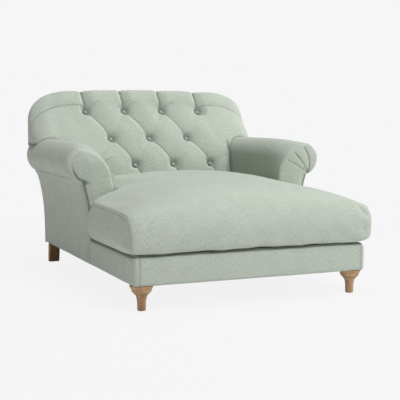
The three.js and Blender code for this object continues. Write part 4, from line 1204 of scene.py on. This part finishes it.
def gusset_distance(x, d, top, ring):
    """Signed distance to the seam around the side gussets, negative on the gusset, and the place along the outline."""
    half = ring[ring[:, 0] > 0]
    corner = int(np.argmax(half[:, 0] - half[:, 1]))
    to_corner = resample(half[:corner + 1], 0.02)[1][-1]
    outline, _ = resample(half, 0.02)
    inset, along = to_polyline(np.abs(x), d, outline)
    across = GUSSET_CORNER - (along - to_corner)
    drop = SEAM_DROP * fading(d, 0.13)
    seam_height = cushion_edge(d) - drop - 1.3 * EAR_ROUND * ear_share(x, d)
    up = top + np.maximum(inset - 0.022, 0) - seam_height + GUSSET_CORNER
    outside = np.hypot(np.maximum(across, 0), np.maximum(up, 0))
    return outside + np.minimum(np.maximum(across, up), 0) - GUSSET_CORNER, along


def build_cushion():
    case, ring = cushion_case()
    points, faces = evened(case, grid_faces(*case.shape[:2], closed=True), CUSHION_SPACING)
    x, d, z = points.T
    top = z - CUSHION_FLOOR
    seam, along = gusset_distance(x, d, top, ring)
    lying = (top < UNDERSIDE) | (d > CUSHION_NECK_FRONT + 0.03) & (top < cushion_edge(d) - 0.01)
    held = (np.abs(seam) < SEAM_HOLD) | lying
    moved = blown(points, faces, held, CUSHION_PRESSURE, CUSHION_FRAMES)
    shift = moved - points
    size = np.linalg.norm(shift, axis=1)
    scale = np.minimum(1, CUSHION_SWELL / np.maximum(size, 1e-6)) * lerp(0.3, 1, smooth(np.abs(seam) / 0.06))
    shift *= scale[:, None]
    fine = 0.002 * ripple(x * 9, d * 9 + z * 5, seed=19) + 0.0008 * ripple(x * 34, d * 30 + z * 22, seed=23)
    points = points + shift + np.where(top > 0.02, fine, 0)[:, None] * np.array([0, -0.5, 1])
    rear_limit = np.where(np.abs(points[:, 0]) > HALF_SEAT, CUSHION_NECK_FRONT, CUSHION_BACK)
    points[:, 1] = np.minimum(points[:, 1], rear_limit)
    points[:, 2] = np.maximum(points[:, 2], CUSHION_FLOOR)
    gusset = smooth(0.5 - seam / 0.006)
    cloth = stacked(lerp(x, along, gusset), lerp(d + top, top + 0.3, gusset), 0)
    obj = mesh_object("seat_cushion_cover", in_row(*points.T), faces, cloth, welt=seam)
    divided(obj)
    dress(obj, "cushion_cover", "seat_cushion", body="cushion", fill=0.8)


# Legs and dust cover

LEG_COLLAR = 0.0495
LEG_INSET = 0.051
LEG_SIDES = 64
LEG_SHARES = [  # share of the collar's radius, share of the height
    (0.02, 0.0), (0.30, 0.0), (0.345, 0.012), (0.36, 0.035), (0.363, 0.2), (0.368, 0.3), (0.385, 0.4),
    (0.415, 0.48), (0.45, 0.55), (0.487, 0.6), (0.52, 0.632), (0.55, 0.638), (0.61, 0.645), (0.64, 0.66),
    (0.645, 0.68), (0.635, 0.7), (0.63, 0.712), (0.65, 0.72), (0.74, 0.726), (0.79, 0.735), (0.812, 0.752),
    (0.83, 0.785), (0.86, 0.835), (0.905, 0.885), (0.955, 0.928), (0.99, 0.955), (1.0, 0.975), (0.985, 1.0),
    (0.3, 1.0),
]
REAR_LEG_WIDTH = 0.054
REAR_LEG_DEPTHS = (0.032, 0.044)  # at the foot, at the top
REAR_LEG_RAKE = 0.014
REAR_LEG_INSET = 0.042
REAR_LEG_EASE = 0.003
FOOT_EASE = 0.0015
CLOTH_SAG = 0.004


def build_front_legs():
    rings, _ = lathe([(LEG_COLLAR * out, LEG_HEIGHT * up) for out, up in LEG_SHARES], LEG_SIDES)
    for side, word in SIDES:
        points = rings + np.array([side * (HALF_BASE - LEG_INSET), LEG_INSET + FRONT_Y, 0])
        faces = grid_faces(*rings.shape[:2], closed=True)
        dress(mesh_object(f"turned_leg_{word}", points, faces, rings + side), "oak", f"front_leg_{word}")


def build_rear_legs():
    """Square raked legs with eased edges."""
    rings = []
    for z in (0, FOOT_EASE, 0.05, LEG_HEIGHT):
        share = z / LEG_HEIGHT
        shrink = 0 if z else FOOT_EASE
        half_x, half_d = REAR_LEG_WIDTH / 2 - shrink, lerp(*REAR_LEG_DEPTHS, share) / 2 - shrink
        corners = [(-half_x, -half_d), (half_x, -half_d), (half_x, half_d), (-half_x, half_d)]
        x, d = rounded([(*corner, REAR_LEG_EASE + shrink) for corner in corners], 6).T
        rings.append(stacked(x, d + lerp(REAR_LEG_RAKE, 0, share), z))
    rings.insert(0, rings[0] * np.array([0.05, 0.05, 1]) + np.array([0, 0.95 * REAR_LEG_RAKE, 0]))
    rings = np.array(rings)
    for side, word in SIDES:
        place = [side * (HALF_BASE - REAR_LEG_INSET), BASE_DEPTH - REAR_LEG_INSET + FRONT_Y, 0]
        faces = grid_faces(*rings.shape[:2], closed=True)
        obj = mesh_object(f"raked_leg_{word}", rings + np.array(place), faces, rings + side)
        obj.data.set_sharp_from_angle(angle=math.radians(35))
        dress(obj, "dark_wood", f"rear_leg_{word}")


def build_dust_cover():
    low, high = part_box("dust_cover")
    x = np.linspace(low[0], high[0], 90)
    y = np.linspace(low[1], high[1], 120)
    xx, yy = np.meshgrid(x, y)
    reach = np.minimum.reduce([xx - low[0], high[0] - xx, yy - low[1], high[1] - yy])
    zz = high[2] - 0.0006 - CLOTH_SAG * smooth(reach / 0.25) + 0.0002 * np.sin(yy * 90)
    points = stacked(xx, yy, zz)
    obj = mesh_object("dust_cloth", points, grid_faces(*xx.shape, flip=True), points)
    dress(obj, "black_cambric", "dust_cover")


def dress_frame():
    """Materials of the CAD nodes that stay."""
    for name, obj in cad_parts.items():
        if obj.hide_render:
            continue
        obj.data.materials.clear()
        obj.data.materials.append(WEBBING if "_web_" in name else TIMBER)


# Studio

BACKGROUND = 0.9216  # the photograph's pale ground, as linear light
GROUND = (BACKGROUND, BACKGROUND, BACKGROUND, 1)
GROUND_SHARE = 0.05  # how much of the lamps' light and shadow the floor shows close to the object
GROUND_LIT = 0.98  # the floor's own brightness there
GROUND_FADE = (1.3, 3.2)  # distances from the middle over which it fades into the plain ground
FLOOR_SIZE = 30
AMBIENT = 0.01
LAMP_DISTANCE = 8.0
LAMP_TARGET = 0.4
LAMPS = [  # name, degrees from the front towards the right, degrees up, watts, size
    ("key", 20, 40, 330, 3.4),
    ("front_top", 15, 60, 80, 3.4),
    ("top", -10, 86, 215, 3.4),
    ("right", 90, 30, 265, 3.4),
    ("low_left", -95, 2, 120, 1.6),
    ("rear", 180, 50, 60, 3.4),
]
CAMERA_PLACE = (-1.7381, -4.1764, 0.7950)
CAMERA_TURN = math.radians(23.207)
CAMERA_TILT = math.radians(5.280)
CAMERA_LENS = 83.28


def build_floor():
    """A plain bright ground that shows a share of the object's shadow close to it."""
    bpy.ops.mesh.primitive_plane_add(size=FLOOR_SIZE, location=(0, 0, 0))
    floor = bpy.context.object
    floor.name = "studio_floor"
    g = Graph(bpy.data.materials.new("studio_ground"))
    reach = g.node("VectorMath", {0: g.place()})
    reach.operation = "LENGTH"
    near = g.span(reach.outputs["Value"], *GROUND_FADE, GROUND_SHARE, 0.0)
    rest = g.minus(1.0, near)
    level = g.math("DIVIDE", g.minus(1.0, g.times(near, GROUND_LIT / BACKGROUND)), rest)
    rays = g.node("LightPath").outputs
    seen = g.most(rays["Is Camera Ray"], rays["Is Glossy Ray"])
    lit = g.node("BsdfDiffuse", {"Color": GROUND}).outputs[0]
    glow = g.node("Emission", {"Color": GROUND, "Strength": level}).outputs[0]
    g.put(g.surface, g.node("MixShader", {0: g.times(seen, rest), 1: lit, 2: glow}).outputs[0])
    floor.data.materials.append(g.owner)


def build_world():
    """The same ground colour behind everything, and almost no light from around."""
    world = bpy.data.worlds.new("studio")
    bpy.context.scene.world = world
    g = Graph(world, "World")
    ambient = g.node("Background", {"Color": (1, 1, 1, 1), "Strength": AMBIENT}).outputs[0]
    ground = g.node("Background", {"Color": GROUND}).outputs[0]
    seen = g.node("LightPath").outputs["Is Camera Ray"]
    g.put(g.surface, g.node("MixShader", {0: seen, 1: ambient, 2: ground}).outputs[0])


def direction(across, up):
    """A unit vector, by angles from the front towards the right and up."""
    return Vector((math.cos(up) * math.sin(across), -math.cos(up) * math.cos(across), math.sin(up)))


def add_lamp(name, azimuth, elevation, power, size):
    """A round lamp far away in a direction."""
    data = bpy.data.lights.new(name, "AREA")
    data.shape = "DISK"
    data.size = size
    data.energy = power
    lamp = bpy.data.objects.new(name, data)
    bpy.context.scene.collection.objects.link(lamp)
    away = direction(math.radians(azimuth), math.radians(elevation))
    lamp.location = Vector((0, 0, LAMP_TARGET)) + LAMP_DISTANCE * away
    lamp.rotation_euler = away.to_track_quat("Z", "Y").to_euler()


def add_camera():
    scene = bpy.context.scene
    data = bpy.data.cameras.new("view")
    camera = bpy.data.objects.new("view", data)
    scene.collection.objects.link(camera)
    camera.location = CAMERA_PLACE
    level = math.cos(CAMERA_TILT)
    forward = Vector((math.sin(CAMERA_TURN) * level, math.cos(CAMERA_TURN) * level, -math.sin(CAMERA_TILT)))
    camera.rotation_euler = forward.to_track_quat("-Z", "Y").to_euler()
    data.sensor_fit = "HORIZONTAL"
    data.sensor_width = 36
    data.lens = CAMERA_LENS
    data.clip_end = 60
    scene.camera = camera


def build_studio():
    bpy.context.scene.view_settings.view_transform = "Standard"
    build_floor()
    build_world()
    for lamp in LAMPS:
        add_lamp(*lamp)
    add_camera()


build_back()
build_buttons()
build_arms()
build_side_panels()
build_border()
build_deck()
build_outer_back()
build_cushion()
build_front_legs()
build_rear_legs()
build_dust_cover()
dress_frame()
build_studio()
